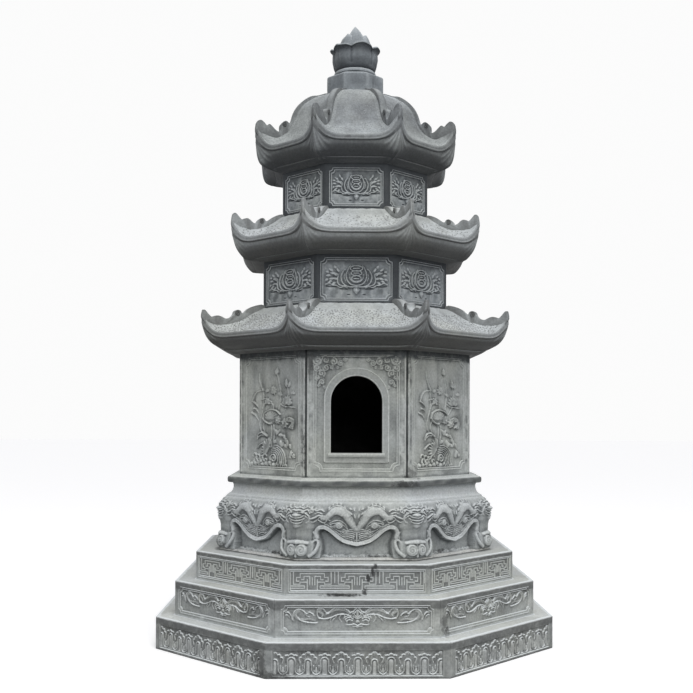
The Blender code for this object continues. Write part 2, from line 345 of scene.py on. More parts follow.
def block(name, board, depth, face, inner, ratio, tone):
    """A closed block for the front side: its face at `face` from the axis, cut back by `depth`."""
    across = board.xs / board.half
    near = face - depth
    x = across[None, :] * (near * TAN - JOINT)
    front = np.stack([x, -near, board.z], axis=-1)
    rows, cols = board.x.shape
    back = np.array([[side * (inner * TAN - JOINT), -inner, z] for z in (board.z0, board.z1) for side in (-1, 1)])
    k = np.arange(rows * cols).reshape(rows, cols)
    b = rows * cols
    faces = sheet_faces(k) + [
        k[0].tolist()[::-1] + [b, b + 1], k[-1].tolist() + [b + 3, b + 2], k[:, 0].tolist() + [b + 2, b],
        k[:, -1].tolist()[::-1] + [b + 1, b + 3], [b, b + 2, b + 3, b + 1]]
    return mesh_of(name, np.vstack([front.reshape(-1, 3), back]), faces, ratio,
                   tone=np.concatenate([tone.ravel(), np.zeros(4)]))


def ring(name, board, depth, face_at, ratio, tone):
    """A closed eight-sided body: the same carved face on all sides, with flat ends.

    face_at gives the face's distance from the axis for each row of the board."""
    across = board.xs / board.half
    near = face_at[:, None] - depth
    points = all_round(np.stack([across[None, :] * near * TAN, -near, board.z], axis=-1)[:, :-1])
    return mesh_of(name, points.reshape(-1, 3), tube_faces(*points.shape[:2]), ratio,
                   tone=np.tile(tone[:, :-1], SIDES))


def rim_distance(board, half, z0, z1, notch=0.0):
    """How far inside a panel outline each point lies; the corners are scooped out by quarter rounds."""
    inside = np.minimum(np.minimum(half - np.abs(board.x), board.z - z0), z1 - board.z)
    if notch:
        up = np.minimum(board.z - z0, z1 - board.z)
        inside = np.minimum(inside, np.hypot(half - np.abs(board.x), up) - notch)
    return inside


def ease(value):
    value = np.clip(value, 0, 1)
    return value * value * (3 - 2 * value)


def bead(distance, centre, width, height):
    """A raised round line that keeps a fixed distance from an outline."""
    return height * np.sqrt(np.maximum(0, 1 - ((distance - centre) / width) ** 2))


# %% Placing a finished stone
PIECES = []


def place(mesh, name, nodes, slot, material):
    """Puts a mesh in the scene as the piece that stands for some stones of the frame."""
    mesh.materials.clear()
    mesh.materials.append(material)
    piece = bpy.data.objects.new(name, mesh)
    bpy.context.scene.collection.objects.link(piece)
    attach(piece, "root")
    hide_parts(*nodes)
    PIECES.append(piece)


def place_round(mesh, node, slot, material, sides=range(SIDES), first=1):
    """The same stone on several sides, each one the piece for that side's stone of the frame."""
    for side in sides:
        name = f"{node}_{side + first}"
        place(turned_copy(mesh, "carved_" + name, side), "carved_" + name, [name], slot, material)


print("stone cutter ready")

# %% [markdown]
# ## Limestone
# The stone is a blue-grey limestone that was cut by hand and has stood in the rain. Its colour drifts from stone
# to stone and along each face, tops are pale with dust, undersides get painted shade, water has left upright streaks,
# edges are paler with wear and painted highlights, and hollows get painted shade. All of this is one shader node group,
# so every stone shares it with its own values.

# %% Node helpers
class Wires:
    """Short calls to add and join nodes in one tree."""

    def __init__(self, tree):
        self.tree = tree

    def link(self, source, target):
        self.tree.links.new(source, target)

    def node(self, kind, inputs=(), **settings):
        """A new node; its inputs are told by name or number and get a value or another node's output."""
        node = self.tree.nodes.new(kind)
        for key, value in settings.items():
            setattr(node, key, value)
        for label, value in dict(inputs).items():
            if isinstance(value, bpy.types.NodeSocket):
                self.link(value, node.inputs[label])
            else:
                node.inputs[label].default_value = value
        return node

    def maths(self, operation, a, b=0.0, clamp=False):
        return self.node("ShaderNodeMath", {0: a, 1: b}, operation=operation, use_clamp=clamp).outputs[0]

    def plus(self, a, b):
        return self.maths("ADD", a, b)

    def minus(self, a, b):
        return self.maths("SUBTRACT", a, b)

    def times(self, a, b):
        return self.maths("MULTIPLY", a, b)

    def between(self, value, low, high, to_low=0.0, to_high=1.0):
        """A soft step: `to_low` where the value is `low`, `to_high` where it is `high`."""
        limits = {"From Min": low, "From Max": high, "To Min": to_low, "To Max": to_high}
        return self.node("ShaderNodeMapRange", {"Value": value, **limits},
                         interpolation_type="SMOOTHSTEP").outputs["Result"]

    def blend(self, factor, a, b, kind="MIX"):
        return self.node("ShaderNodeMix", {"Factor": factor, "A": a, "B": b}, data_type="RGBA",
                         blend_type=kind).outputs["Result"]

    def tint(self, colour, mask, amount, other):
        """A colour drawn towards another one where a mask is high."""
        return self.blend(self.maths("MULTIPLY", mask, amount, clamp=True), colour, other)

    def noise(self, vector, scale, detail, rough):
        return self.node("ShaderNodeTexNoise", {"Vector": vector, "Scale": scale, "Detail": detail,
                                                "Roughness": rough}).outputs["Fac"]

    def uneven(self, vector, scale):
        """Noise from -1 to 1 that makes an edge wander."""
        return self.between(self.noise(vector, scale, 6, 0.65), 0.3, 0.7, -1.0, 1.0)

    def split(self, vector):
        return self.node("ShaderNodeSeparateXYZ", {0: vector}).outputs

    def place_at(self):
        """Where a point lies on its object."""
        return self.node("ShaderNodeTexCoord").outputs["Object"]

    def upwards(self):
        """How much the surface faces up, from -1 to 1."""
        return self.split(self.node("ShaderNodeNewGeometry").outputs["Normal"])["Z"]


def new_group(name, sockets_in, sockets_out, kind="Shader"):
    """An empty node group with named sockets: the group, its input and output sockets, and calls to fill it."""
    group = bpy.data.node_groups.new(name, kind + "NodeTree")
    for label, holds, default in sockets_in:
        socket = group.interface.new_socket(name=label, in_out="INPUT", socket_type="NodeSocket" + holds)
        if default is not None:
            socket.default_value = default
    for label, holds in sockets_out:
        group.interface.new_socket(name=label, in_out="OUTPUT", socket_type="NodeSocket" + holds)
    return group, group.nodes.new("NodeGroupInput").outputs, group.nodes.new("NodeGroupOutput").inputs, Wires(group)


# %% The limestone group
def limestone_group():
    group, given, result, w = new_group(
        "Weathered limestone",
        [("Stone", "Color", (0.30, 0.32, 0.32, 1)), ("Pale", "Color", (0.52, 0.54, 0.54, 1)),
         ("Deep", "Color", (0.11, 0.12, 0.125, 1)), ("Drift", "Float", 0.5), ("Dust", "Float", 0.6),
         ("Shade", "Float", 0.6), ("Streaks", "Float", 0.4), ("Worn", "Float", 0.5), ("Grain", "Float", 0.5)],
        [("Color", "Color"), ("Roughness", "Float"), ("Height", "Float")])
    place_at, surface = w.place_at(), w.node("ShaderNodeNewGeometry").outputs
    facing = w.split(surface["Normal"])["Z"]
    up, down = w.between(facing, 0.35, 0.9), w.between(facing, -0.1, -0.75)
    upright = w.maths("SUBTRACT", 1.0, w.maths("ADD", up, down, clamp=True), clamp=True)

    broad, patch = w.noise(place_at, 2.3, 5, 0.6), w.noise(place_at, 11.0, 6, 0.62)
    grain = w.noise(place_at, 75.0, 5, 0.65)
    pits = w.node("ShaderNodeTexVoronoi", {"Vector": place_at, "Scale": 240.0}, feature="F1").outputs["Distance"]
    long = w.node("ShaderNodeMapping", {"Vector": place_at, "Scale": (16.0, 16.0, 1.1)}).outputs["Vector"]
    streak = w.noise(long, 1.0, 6, 0.6)

    drift = w.plus(w.between(broad, 0.32, 0.68, -1.0, 1.0), w.between(patch, 0.3, 0.7, -0.8, 0.8))
    drift = w.times(drift, given["Drift"])
    wet = w.times(w.between(streak, 0.54, 0.74), upright)
    lime = w.times(w.between(streak, 0.42, 0.26), upright)
    dusty = w.times(up, w.between(patch, 0.2, 0.55, 0.7, 1.0))
    # Pointy edges are paler with wear and a painted highlight; hollows get painted shade.
    wear_and_highlight = w.between(surface["Pointiness"], 0.505, 0.56)
    sunk = w.between(surface["Pointiness"], 0.495, 0.44)
    # The tone attribute carries painted highlights and painted shade from the carving, with some wear and dirt.
    tone = w.node("ShaderNodeAttribute", attribute_type="GEOMETRY", attribute_name="tone").outputs["Fac"]
    tone = w.times(tone, given["Worn"])
    colour = given["Stone"]
    # Undersides are drawn towards the deep colour by the Shade amount: painted shade.
    for mask, amount, other in (
            (drift, 0.42, "Pale"), (drift, -0.42, "Deep"), (wet, given["Streaks"], "Deep"),
            (lime, w.times(given["Streaks"], 0.6), "Pale"), (dusty, given["Dust"], "Pale"),
            (down, given["Shade"], "Deep"), (wear_and_highlight, given["Worn"], "Pale"), (sunk, given["Worn"], "Deep"),
            (tone, 0.9, "Pale"), (tone, -0.8, "Deep")):
        colour = w.tint(colour, mask, amount, given[other])
    warm = w.blend(1.0, colour, (1.01, 1.0, 0.955, 1), "MULTIPLY")
    colour = w.blend(w.between(w.noise(place_at, 1.7, 4, 0.6), 0.42, 0.62), colour, warm)
    salt = w.plus(w.between(grain, 0.3, 0.7, 0.78, 1.18), w.between(pits, 0.1, 0.5, -0.05, 0.05))
    salted = w.node("ShaderNodeCombineColor", {0: salt, 1: salt, 2: salt}).outputs[0]
    colour = w.blend(given["Grain"], colour, w.blend(1.0, colour, salted, "MULTIPLY"))

    height = w.plus(w.plus(w.times(grain, 0.55), w.times(patch, 0.9)), w.times(pits, 0.35))
    w.link(colour, result["Color"])
    w.link(w.minus(w.between(patch, 0.2, 0.8, 0.72, 0.92), w.times(wet, 0.12)), result["Roughness"])
    w.link(height, result["Height"])
    return group


LIMESTONE = limestone_group()


# %% Stained patches, painted shade and painted highlights that sit in one place
def stain_and_shade_group():
    """A soft-edged dark patch: 1 at its centre, 0 outside its size, broken up by noise."""
    group, given, result, w = new_group(
        "Stain and shade", [("Centre", "Vector", None), ("Reach", "Vector", (0.1, 0.1, 0.1))], [("Mask", "Float")])
    place_at = w.place_at()
    away = w.node("ShaderNodeVectorMath", {0: place_at, 1: given["Centre"]}, operation="SUBTRACT").outputs[0]
    scaled = w.node("ShaderNodeVectorMath", {0: away, 1: given["Reach"]}, operation="DIVIDE").outputs[0]
    size = w.node("ShaderNodeVectorMath", {0: scaled}, operation="LENGTH").outputs["Value"]
    rough = w.between(w.noise(place_at, 34.0, 6, 0.65), 0.25, 0.75, -0.45, 0.45)
    w.link(w.between(w.plus(size, rough), 1.05, 0.35), result["Mask"])
    return group


def inner_shade_group():
    """1 inside an upright round room, 0 outside it: the room inside the hollow body, which is painted black as shade.
    """
    group, given, result, w = new_group(
        "Inner shade", [("Radius", "Float", 0.76), ("Top", "Float", 1.95)], [("Mask", "Float")])
    place = w.split(w.place_at())
    away = w.maths("SQRT", w.plus(w.times(place["X"], place["X"]), w.times(place["Y"], place["Y"])))
    inside = w.between(w.minus(away, given["Radius"]), 0.012, -0.012)
    below = w.between(w.minus(place["Z"], given["Top"]), 0.01, -0.01)
    above = w.between(place["Z"], 1.10, 1.12)
    w.link(w.times(w.times(inside, below), above), result["Mask"])
    return group


def band_group():
    """1 on upright stone between two heights, with a soft uneven edge."""
    group, given, result, w = new_group(
        "Level band", [("Low", "Float", 0.0), ("High", "Float", 1.0), ("Soft", "Float", 0.01)], [("Mask", "Float")])
    place_at = w.place_at()
    wander = w.times(w.uneven(place_at, 13.0), w.times(given["Soft"], 0.6))
    height = w.plus(w.split(place_at)["Z"], wander)
    above = w.maths("DIVIDE", w.minus(height, given["Low"]), given["Soft"])
    below = w.maths("DIVIDE", w.minus(given["High"], height), given["Soft"])
    mask = w.times(w.between(above, -1.0, 1.0), w.between(below, -1.0, 1.0))
    mask = w.times(mask, w.between(w.upwards(), 0.7, 0.4))
    patchy = w.between(w.noise(place_at, 30.0, 5, 0.6), 0.3, 0.6, 0.6, 1.0)
    w.link(w.times(mask, patchy), result["Mask"])
    return group


def tread_group():
    """Treads of an eight-sided step: `Edge` is 1 along the outer edge, which gets wear and a painted highlight, and
    `Shade and dirt` is 1 where the next stone rises, which gets painted shade and dirt.
    """
    group, given, result, w = new_group(
        "Tread", [("Outer", "Float", 1.3), ("Inner", "Float", 1.18)], [("Edge", "Float"), ("Shade and dirt", "Float")])
    place_at = w.place_at()
    place = w.split(place_at)
    x, y = (w.maths("ABSOLUTE", place[axis]) for axis in ("X", "Y"))
    out = w.maths("MAXIMUM", w.maths("MAXIMUM", x, y), w.times(w.plus(x, y), 0.70711))
    uneven = w.uneven(place_at, 17.0)
    from_outer = w.minus(given["Outer"], out)
    tread = w.times(w.between(w.upwards(), 0.3, 0.6), w.maths("GREATER_THAN", from_outer, -0.01))
    to_edge = w.plus(from_outer, w.times(uneven, 0.005))
    w.link(w.times(tread, w.between(to_edge, 0.030, 0.014)), result["Edge"])
    to_riser = w.plus(w.minus(out, given["Inner"]), w.times(uneven, 0.016))
    w.link(w.times(tread, w.between(to_riser, 0.045, 0.002)), result["Shade and dirt"])
    return group


STAIN_AND_SHADE, INNER_SHADE, BAND, TREAD = stain_and_shade_group(), inner_shade_group(), band_group(), tread_group()
STAIN_AND_SHADE_COLOUR, EDGE_WEAR_AND_HIGHLIGHT = (0.035, 0.036, 0.036, 1), (0.74, 0.78, 0.79, 1)
BLACK = (0.004, 0.004, 0.004, 1)


def limestone(name, stone, pale, deep, relief=0.0016, stains_and_shade=(), inner_shade=None, bands=(), treads=(), **amounts):
    """A limestone finish; stains_and_shade are (centre, reach, strength) of dark patches, stained spots on most stones
    and painted shade with dirt on the waist;
    inner_shade is (radius, top) of the room inside the hollow body, painted black as shade; bands are (low, high,
    softness, strength), dark where the strength is positive and pale where it is negative, most of them painted shade
    and highlights;
    treads are (outer, inner, shade_and_dirt): two distances from the axis and how much painted shade and dirt the inner
    edge gets."""
    material = bpy.data.materials.new(name)
    material.use_nodes = True
    w = Wires(material.node_tree)
    stone, pale, deep = ((*value, 1) for value in (stone, pale, deep))

    def group(tree, **inputs):
        return w.node("ShaderNodeGroup", inputs, node_tree=tree).outputs

    body = group(LIMESTONE, Stone=stone, Pale=pale, Deep=deep, **amounts)
    colour = body["Color"]
    for low, high, soft, strength in bands:
        mask = group(BAND, Low=low, High=high, Soft=soft)["Mask"]
        colour = w.tint(colour, mask, abs(strength), deep if strength > 0 else pale)
    for outer, inner, shade_and_dirt in treads:
        tread = group(TREAD, Outer=outer, Inner=inner)
        # Painted shade and dirt where the next stone rises, and wear with a painted highlight along the outer edge.
        colour = w.tint(colour, tread["Shade and dirt"], shade_and_dirt, deep)
        colour = w.tint(colour, tread["Edge"], 0.85, EDGE_WEAR_AND_HIGHLIGHT)
    # Dark patches: stained spots on most stones, painted shade with dirt on the waist.
    for centre, reach, strength in stains_and_shade:
        colour = w.tint(colour, group(STAIN_AND_SHADE, Centre=centre, Reach=reach)["Mask"], strength, STAIN_AND_SHADE_COLOUR)
    # Inside the hollow body the stone is painted black: painted shade.
    if inner_shade:
        colour = w.blend(group(INNER_SHADE, Radius=inner_shade[0], Top=inner_shade[1])["Mask"], colour, BLACK)
    bump = w.node("ShaderNodeBump", {"Distance": relief, "Strength": 0.9, "Height": body["Height"]})
    shader = material.node_tree.nodes["Principled BSDF"]
    for label, value in (("Base Color", colour), ("Roughness", body["Roughness"]), ("Normal", bump.outputs[0])):
        w.link(value, shader.inputs[label])
    return material


# %% Stone of the steps
LOWER_FACE, MIDDLE_FACE, UPPER_FACE = 1.300, 1.183, 1.053
STEP_LEVELS = [levels(f"{name}_step_1") for name in ("lower", "middle", "upper")]
foot, top = STEP_LEVELS[2]
# Step stone: the dark bands under each top edge and the dark lines at each foot are painted shade with dirt, the pale
# lines along each top edge are painted highlights, and each tread gets painted shade with dirt where the next stone
# rises and wear with a painted highlight along its outer edge.
STEP_STONE = limestone(
    "step stone", (0.305, 0.322, 0.320), (0.575, 0.60, 0.595), (0.085, 0.090, 0.090), Drift=0.5, Dust=0.75, Shade=0.5,
    Streaks=0.4, Worn=0.75, Grain=0.7,
    bands=[(high - deep, high - 0.006, soft, amount) for (_, high), deep, soft, amount in zip(
        STEP_LEVELS, (0.046, 0.058, 0.026), (0.006, 0.010, 0.006), (0.75, 0.75, 0.85))]
    + [(low - 0.01, low + 0.009, 0.006, 0.7) for low, _ in STEP_LEVELS]
    + [(high - 0.007, high + 0.01, 0.0025, -0.9) for _, high in STEP_LEVELS],
    treads=[(LOWER_FACE, MIDDLE_FACE, 0.15), (MIDDLE_FACE, UPPER_FACE, 0.10), (UPPER_FACE, 0.900, 0.75)],
    stains_and_shade=[((0.112, -1.05, top - 0.012), (0.016, 0.05, 0.022), 0.95),
            ((0.092, -1.05, top - 0.040), (0.011, 0.05, 0.030), 0.9),
            ((0.068, -1.05, top - 0.085), (0.013, 0.05, 0.034), 0.9),
            ((0.046, -1.05, foot + 0.020), (0.018, 0.05, 0.030), 0.9),
            ((0.120, -1.05, top - 0.050), (0.030, 0.05, 0.030), 0.5),
            ((-0.09, -1.06, foot + 0.004), (0.155, 0.05, 0.010), 0.95),
            ((0.520, -1.15, 0.300), (0.030, 0.10, 0.080), 0.6), ((0.535, -1.12, 0.235), (0.022, 0.10, 0.055), 0.5),
            ((-0.50, -1.27, 0.020), (0.16, 0.10, 0.030), 0.7), ((-0.56, -1.26, 0.09), (0.035, 0.10, 0.10), 0.6)])
print("limestone ready")

# %% [markdown]
# ## Raised lines
# Thin raised lines frame the panels and the arch. They are far thinner than the carving grid, so Geometry Nodes
# sweeps a small round along each outline instead.

# %% A small kit for geometry trees
def geometry_tree(name, inputs):
    """An empty geometry tree with named inputs: the group, its input and output sockets, and calls to fill it."""
    return new_group(name, [("Geometry", "Geometry", None)] + inputs, [("Geometry", "Geometry")], "Geometry")


def finish_tree(w, mesh, stone, result):
    """Ends a tree: instances become real, and the whole gets its stone."""
    real = w.node("GeometryNodeRealizeInstances", {0: mesh})
    done = w.node("GeometryNodeSetMaterial", {"Geometry": real.outputs[0], "Material": stone})
    w.link(done.outputs["Geometry"], result[0])


def run_tree(group, mesh, values):
    """The plain mesh that a geometry tree makes from a mesh, with its named inputs set by identifier."""
    known = {item.name: item.identifier for item in group.interface.items_tree if item.in_out == "INPUT"}
    inputs = {known[label]: value for label, value in values.items()}
    return shaped(mesh, "NODES", inputs, node_group=group)


def joined(name, meshes, sharp=38):
    """Several meshes as one."""
    work = bmesh.new()
    for mesh in meshes:
        work.from_mesh(mesh)
    whole = bpy.data.meshes.new(name)
    work.to_mesh(whole)
    work.free()
    whole.shade_smooth()
    whole.set_sharp_from_angle(angle=math.radians(sharp))
    return whole


def wire_mesh(name, chains):
    """A mesh of edges only: each chain is a list of points."""
    points, edges = [], []
    for chain in chains:
        edges += [(len(points) + i, len(points) + i + 1) for i in range(len(chain) - 1)]
        points += [tuple(p) for p in chain]
    mesh = bpy.data.meshes.new(name)
    mesh.from_pydata(points, edges, [])
    return mesh


# %% The bead tree
def bead_tree():
    group, given, result, w = geometry_tree("Bead", [
        ("Radius", "Float", 0.003), ("Corners", "Int", 6), ("Stone", "Material", None)])
    path = w.node("GeometryNodeMeshToCurve", {"Mesh": given["Geometry"]}).outputs["Curve"]
    shape = w.node("GeometryNodeCurvePrimitiveCircle", {"Resolution": given["Corners"], "Radius": given["Radius"]})
    swept = w.node("GeometryNodeCurveToMesh", {"Curve": path, "Profile Curve": shape.outputs["Curve"],
                                               "Fill Caps": True})
    finish_tree(w, swept.outputs["Mesh"], given["Stone"], result)
    return group


BEAD = bead_tree()


def toned(mesh, value):
    """A mesh whose points all carry one tone."""
    tone = mesh.attributes.new("tone", "FLOAT", "POINT")
    tone.data.foreach_set("value", np.full(len(mesh.vertices), value, np.float32))
    return mesh


def beads(outlines, face, radius, stone, corners=6, tone=0.35):
    """Round lines along (x, z) outlines on the front face at the given distance from the axis."""
    chains = [[(x, -face, z) for x, z in outline] for outline in outlines]
    swept = run_tree(BEAD, wire_mesh("beads", chains), {"Radius": radius, "Corners": corners, "Stone": stone})
    return toned(swept, tone)


def panel_outline(half, z0, z1, notch):
    """A rectangle with scooped corners, closed by repeating its first point."""
    right = list(arc(half, z0, notch, 180, 90, 6)) + list(arc(half, z1, notch, 270, 180, 6))
    points = [tuple(p) for p in right] + [(-x, z) for x, z in reversed(right)]
    return points + [points[0]]


def border(half, z0, z1, notch, face, radius, stone, tone):
    """A round line along a panel's outline."""
    return beads([panel_outline(half, z0, z1, notch)], face, radius, stone, tone=tone)


def rectangle(half, z0, z1):
    """A closed rectangle; its last point is its first."""
    return [(-half, z0), (half, z0), (half, z1), (-half, z1), (-half, z0)]


def arch_outline(half, foot, spring, count=40):
    """An arch: up one side, round the top and down the other side."""
    return [(half, foot)] + [tuple(p) for p in arc(0, spring, half, 0, 180, count)] + [(-half, foot)]


# %% [markdown]
# ## The lower step: arches and cloud lobes
# Each side stone has a plain band along its top and a sunk field below it. In the field runs a chain of round
# arches. Every second one stands inside a cloud of five lobes, the others wear a small cap, and teardrops hang
# between them.

# %% Carving of the lower step
LOWER_Z0, LOWER_Z1 = levels("lower_step_1")
STEP_INNER = 0.620
STEP_GRID, STEP_KEPT = 0.0033, 0.195
FIELD_DEPTH = 0.010
ARCH_PITCH = 0.0970


def draw_arches(board, foot):
    """Round arches and lobed clouds take turns; teardrops hang between them in nested U lines."""
    low, spring = foot + 0.036, foot + 0.084
    r = ARCH_PITCH / 4
    chain = []
    for k in range(-6, 7):
        x, cloud = k * ARCH_PITCH, k % 2 == 1
        top = spring - (0.006 if cloud else 0.0)
        chain += list(arc(x, top, r * (0.76 if cloud else 0.94), 180, 0, 14))
        chain += list(arc(x + ARCH_PITCH / 2, low, r * 1.08, 180, 360, 14))
        board.pad([(x, foot - 0.01), (x, top - 0.004)], 0.0115 if cloud else 0.0155, 0.0040, 0.004)
        drop = (x + ARCH_PITCH / 2, foot + 0.020)
        board.leaf((drop[0], drop[1] + 0.036), 180, 0.044, 0.0085, 0.0080, ribs=0, base=0.001, shape=1.5)
        board.line([(drop[0] - 0.0165, drop[1] + 0.040)] + list(arc(drop[0], low, 0.0150, 180, 360, 12))
                   + [(drop[0] + 0.0165, drop[1] + 0.040)], 0.0026, 0.0050)
        if cloud:
            lobes = [(-0.0405, 0.097, 0.0105, 200, 60), (-0.0245, 0.1125, 0.0115, 175, 40),
                     (0.0, 0.1215, 0.0155, 160, 20), (0.0245, 0.1125, 0.0115, 140, 5),
                     (0.0405, 0.097, 0.0105, 120, -20)]
            outline = []
            for dx, dz, size, start, end in lobes:
                outline += list(arc(x + dx, foot + dz, size, start, end, 9))
            outline = [(x - 0.0445, foot + 0.074)] + outline + [(x + 0.0445, foot + 0.074)]
            board.line(outline, 0.0032, 0.0070)
            board.line(arc(x, foot + 0.108, 0.020, 165, 15, 10), 0.0020, 0.0028)
        else:
            cap = ([(x - 0.034, foot + 0.118)] + list(arc(x - 0.022, foot + 0.112, 0.0085, 150, 40, 7))
                   + list(arc(x, foot + 0.112, 0.0150, 158, 22, 11))
                   + list(arc(x + 0.022, foot + 0.112, 0.0085, 140, 30, 7))
                   + [(x + 0.034, foot + 0.118)])
            board.line(cap, 0.0030, 0.0062)
    board.line(np.array(chain), 0.0032, 0.0068)


def carve_lower():
    half = LOWER_FACE * TAN
    board = Face(half, LOWER_Z0, LOWER_Z1, STEP_GRID)
    field_z0, field_z1, field_half = LOWER_Z0 + 0.016, LOWER_Z1 - 0.046, 0.497
    draw_arches(board, field_z0)
    rim = rim_distance(board, field_half, field_z0, field_z1)
    board.h *= ease((rim - 0.003) / 0.005)
    ground = FIELD_DEPTH * ease(rim / 0.004) + 0.0006 * ripple(board.x, board.z, 0.03, 4) * (rim > 0)
    edge = bead(rim, -0.002, 0.0028, 0.0016) + bead(rim, 0.0075, 0.0022, 0.0030) * (board.z < field_z0 + 0.02)
    depth = np.maximum(ground - board.h, 0) - edge * (rim > -0.003) + worn_edges(board, 0.0035, 11)
    depth += 0.0004 * (ripple(board.x, board.z, 0.09, 5) + 1) * (rim <= -0.003)
    tone = board.tone() + 0.22 * (rim > 0) + 0.5 * (np.abs(rim) < 0.003)
    tone += 0.30 * ripple(board.x, board.z * 3, 0.25, 14)
    return block("lower step stone", board, np.maximum(depth, 0), LOWER_FACE, STEP_INNER, STEP_KEPT, tone)


mesh = carve_lower()
place_round(mesh, "lower_step", "step_stone", STEP_STONE)
print("lower step:", len(mesh.polygons), "faces a stone")

# %% [markdown]
# ## The middle step: a lotus between cloud ribbons
# The middle stones have a sunk panel with scooped corners and a double border. A lotus opens in the middle, and
# on both sides wave crests roll away from it towards the ends. The drawing was measured in units of 0.77 mm.

# %% Carving of the middle step
MIDDLE_Z0, MIDDLE_Z1 = levels("middle_step_1")
MIDDLE_SHEET, MIDDLE_NOTCH = 0.00077, 0.022


def ribbon(*points):
    """Points of the ribbon drawing, counted left from the middle and down from the stone's top edge."""
    return np.array([(x * MIDDLE_SHEET, MIDDLE_Z1 - y * MIDDLE_SHEET) for x, y in points])


def draw_ribbons(board):
    """A lotus in the middle, and wave crests that roll away from it on both sides."""
    stroke = pen(board.both, ribbon)
    for points, width, height, taper in (
            # Broad soft bodies first
            ([(60, 112), (105, 84), (160, 80), (205, 96), (240, 112)], 0.0150, 0.0042, (0.4, 0.5)),
            ([(265, 120), (290, 100), (305, 84), (290, 76)], 0.0130, 0.0042, (0.5, 0.9)),
            ([(330, 160), (380, 150), (430, 158), (470, 140), (488, 105),
              (460, 86)], 0.0150, 0.0042, (0.3, 0.9)),
            # Bright edges of the crests
            ([(57, 104), (80, 84), (102, 72), (152, 66), (186, 74), (207, 88), (217, 104),
              (242, 110)], 0.0030, 0.0078, (0.8, 0.8)),
            ([(52, 128), (92, 116), (150, 117), (202, 138), (252, 150),
              (300, 143)], 0.0034, 0.0082, (0.7, 1.1)),
            ([(300, 143), (312, 118), (313, 92), (300, 74), (280, 70), (262, 78), (250, 94),
              (238, 108)], 0.0034, 0.0085, (1.1, 0.7)),
            ([(312, 180), (362, 179), (420, 168), (458, 146), (474, 120),
              (470, 104)], 0.0034, 0.0080, (0.8, 0.7)),
            ([(497, 158), (500, 120), (482, 90), (455, 76), (425, 84), (402, 104), (388, 112), (378, 96),
              (352, 108), (334, 126)], 0.0034, 0.0085, (0.9, 0.7)),
            ([(557, 98), (534, 99), (514, 122), (503, 154), (497, 118)], 0.0036, 0.0080, (1.0, 0.7)),
            ([(520, 150), (532, 128), (548, 118), (556, 122)], 0.0028, 0.0055, (0.6, 1.0)),
            ([(405, 112), (392, 128), (366, 136)], 0.0026, 0.0055, (1.0, 0.5)),
            ([(284, 96), (272, 104), (268, 120), (276, 132)], 0.0026, 0.0055, (0.6, 1.0)),
            # Leaf tails under the ribbon
            ([(130, 122), (142, 140), (132, 162), (122, 176)], 0.0034, 0.0065, (1.0, 0.4)),
            ([(165, 130), (182, 150), (200, 168)], 0.0034, 0.0065, (1.0, 0.4)),
            ([(98, 126), (106, 146), (100, 160)], 0.0030, 0.0060, (1.0, 0.4)),
            ([(205, 146), (214, 160), (208, 174)], 0.0028, 0.0055, (1.0, 0.4)),
            # Curled leaves beside the lotus, and the water it stands in
            ([(24, 100), (40, 110), (44, 128), (30, 142)], 0.0030, 0.0070, (1.0, 0.7)),
            ([(34, 152), (52, 140), (74, 140), (92, 152), (88, 166)], 0.0036, 0.0082, (0.8, 1.0)),
            ([(40, 166), (58, 156), (78, 162), (82, 176)], 0.0032, 0.0075, (0.8, 1.0)),
            ([(48, 136), (72, 128), (96, 136), (108, 150)], 0.0030, 0.0070, (0.8, 0.6)),
            ([(0, 204), (24, 190), (48, 194), (70, 196), (90, 190)], 0.0036, 0.0080, (1.0, 0.6)),
            ([(0, 214), (20, 206), (40, 206)], 0.0030, 0.0070, (1.0, 0.5))):
        stroke(40, width, height, *points, taper=taper)
    # Lotus: a pointed middle petal with nested outlines between two side petals
    stroke(16, 0.0032, 0.0085, (0, 68), (18, 76), (30, 92), (52, 100))
    stroke(16, 0.0030, 0.0085, (0, 82), (20, 104), (22, 122), (0, 142))
    board.pad(ribbon((0, 96), (0, 128)), 0.0120, 0.0050, 0.006)
    stroke(16, 0.0030, 0.0075, (0, 150), (20, 140), (34, 122), (30, 104))
    board.line(ribbon((0, 92), (0, 130)), 0.0026, 0.0075)
    for lean in (-150, 150, 180):
        board.leaf(ribbon((0, 158))[0], lean, 0.020, 0.0055, 0.007, ribs=0)


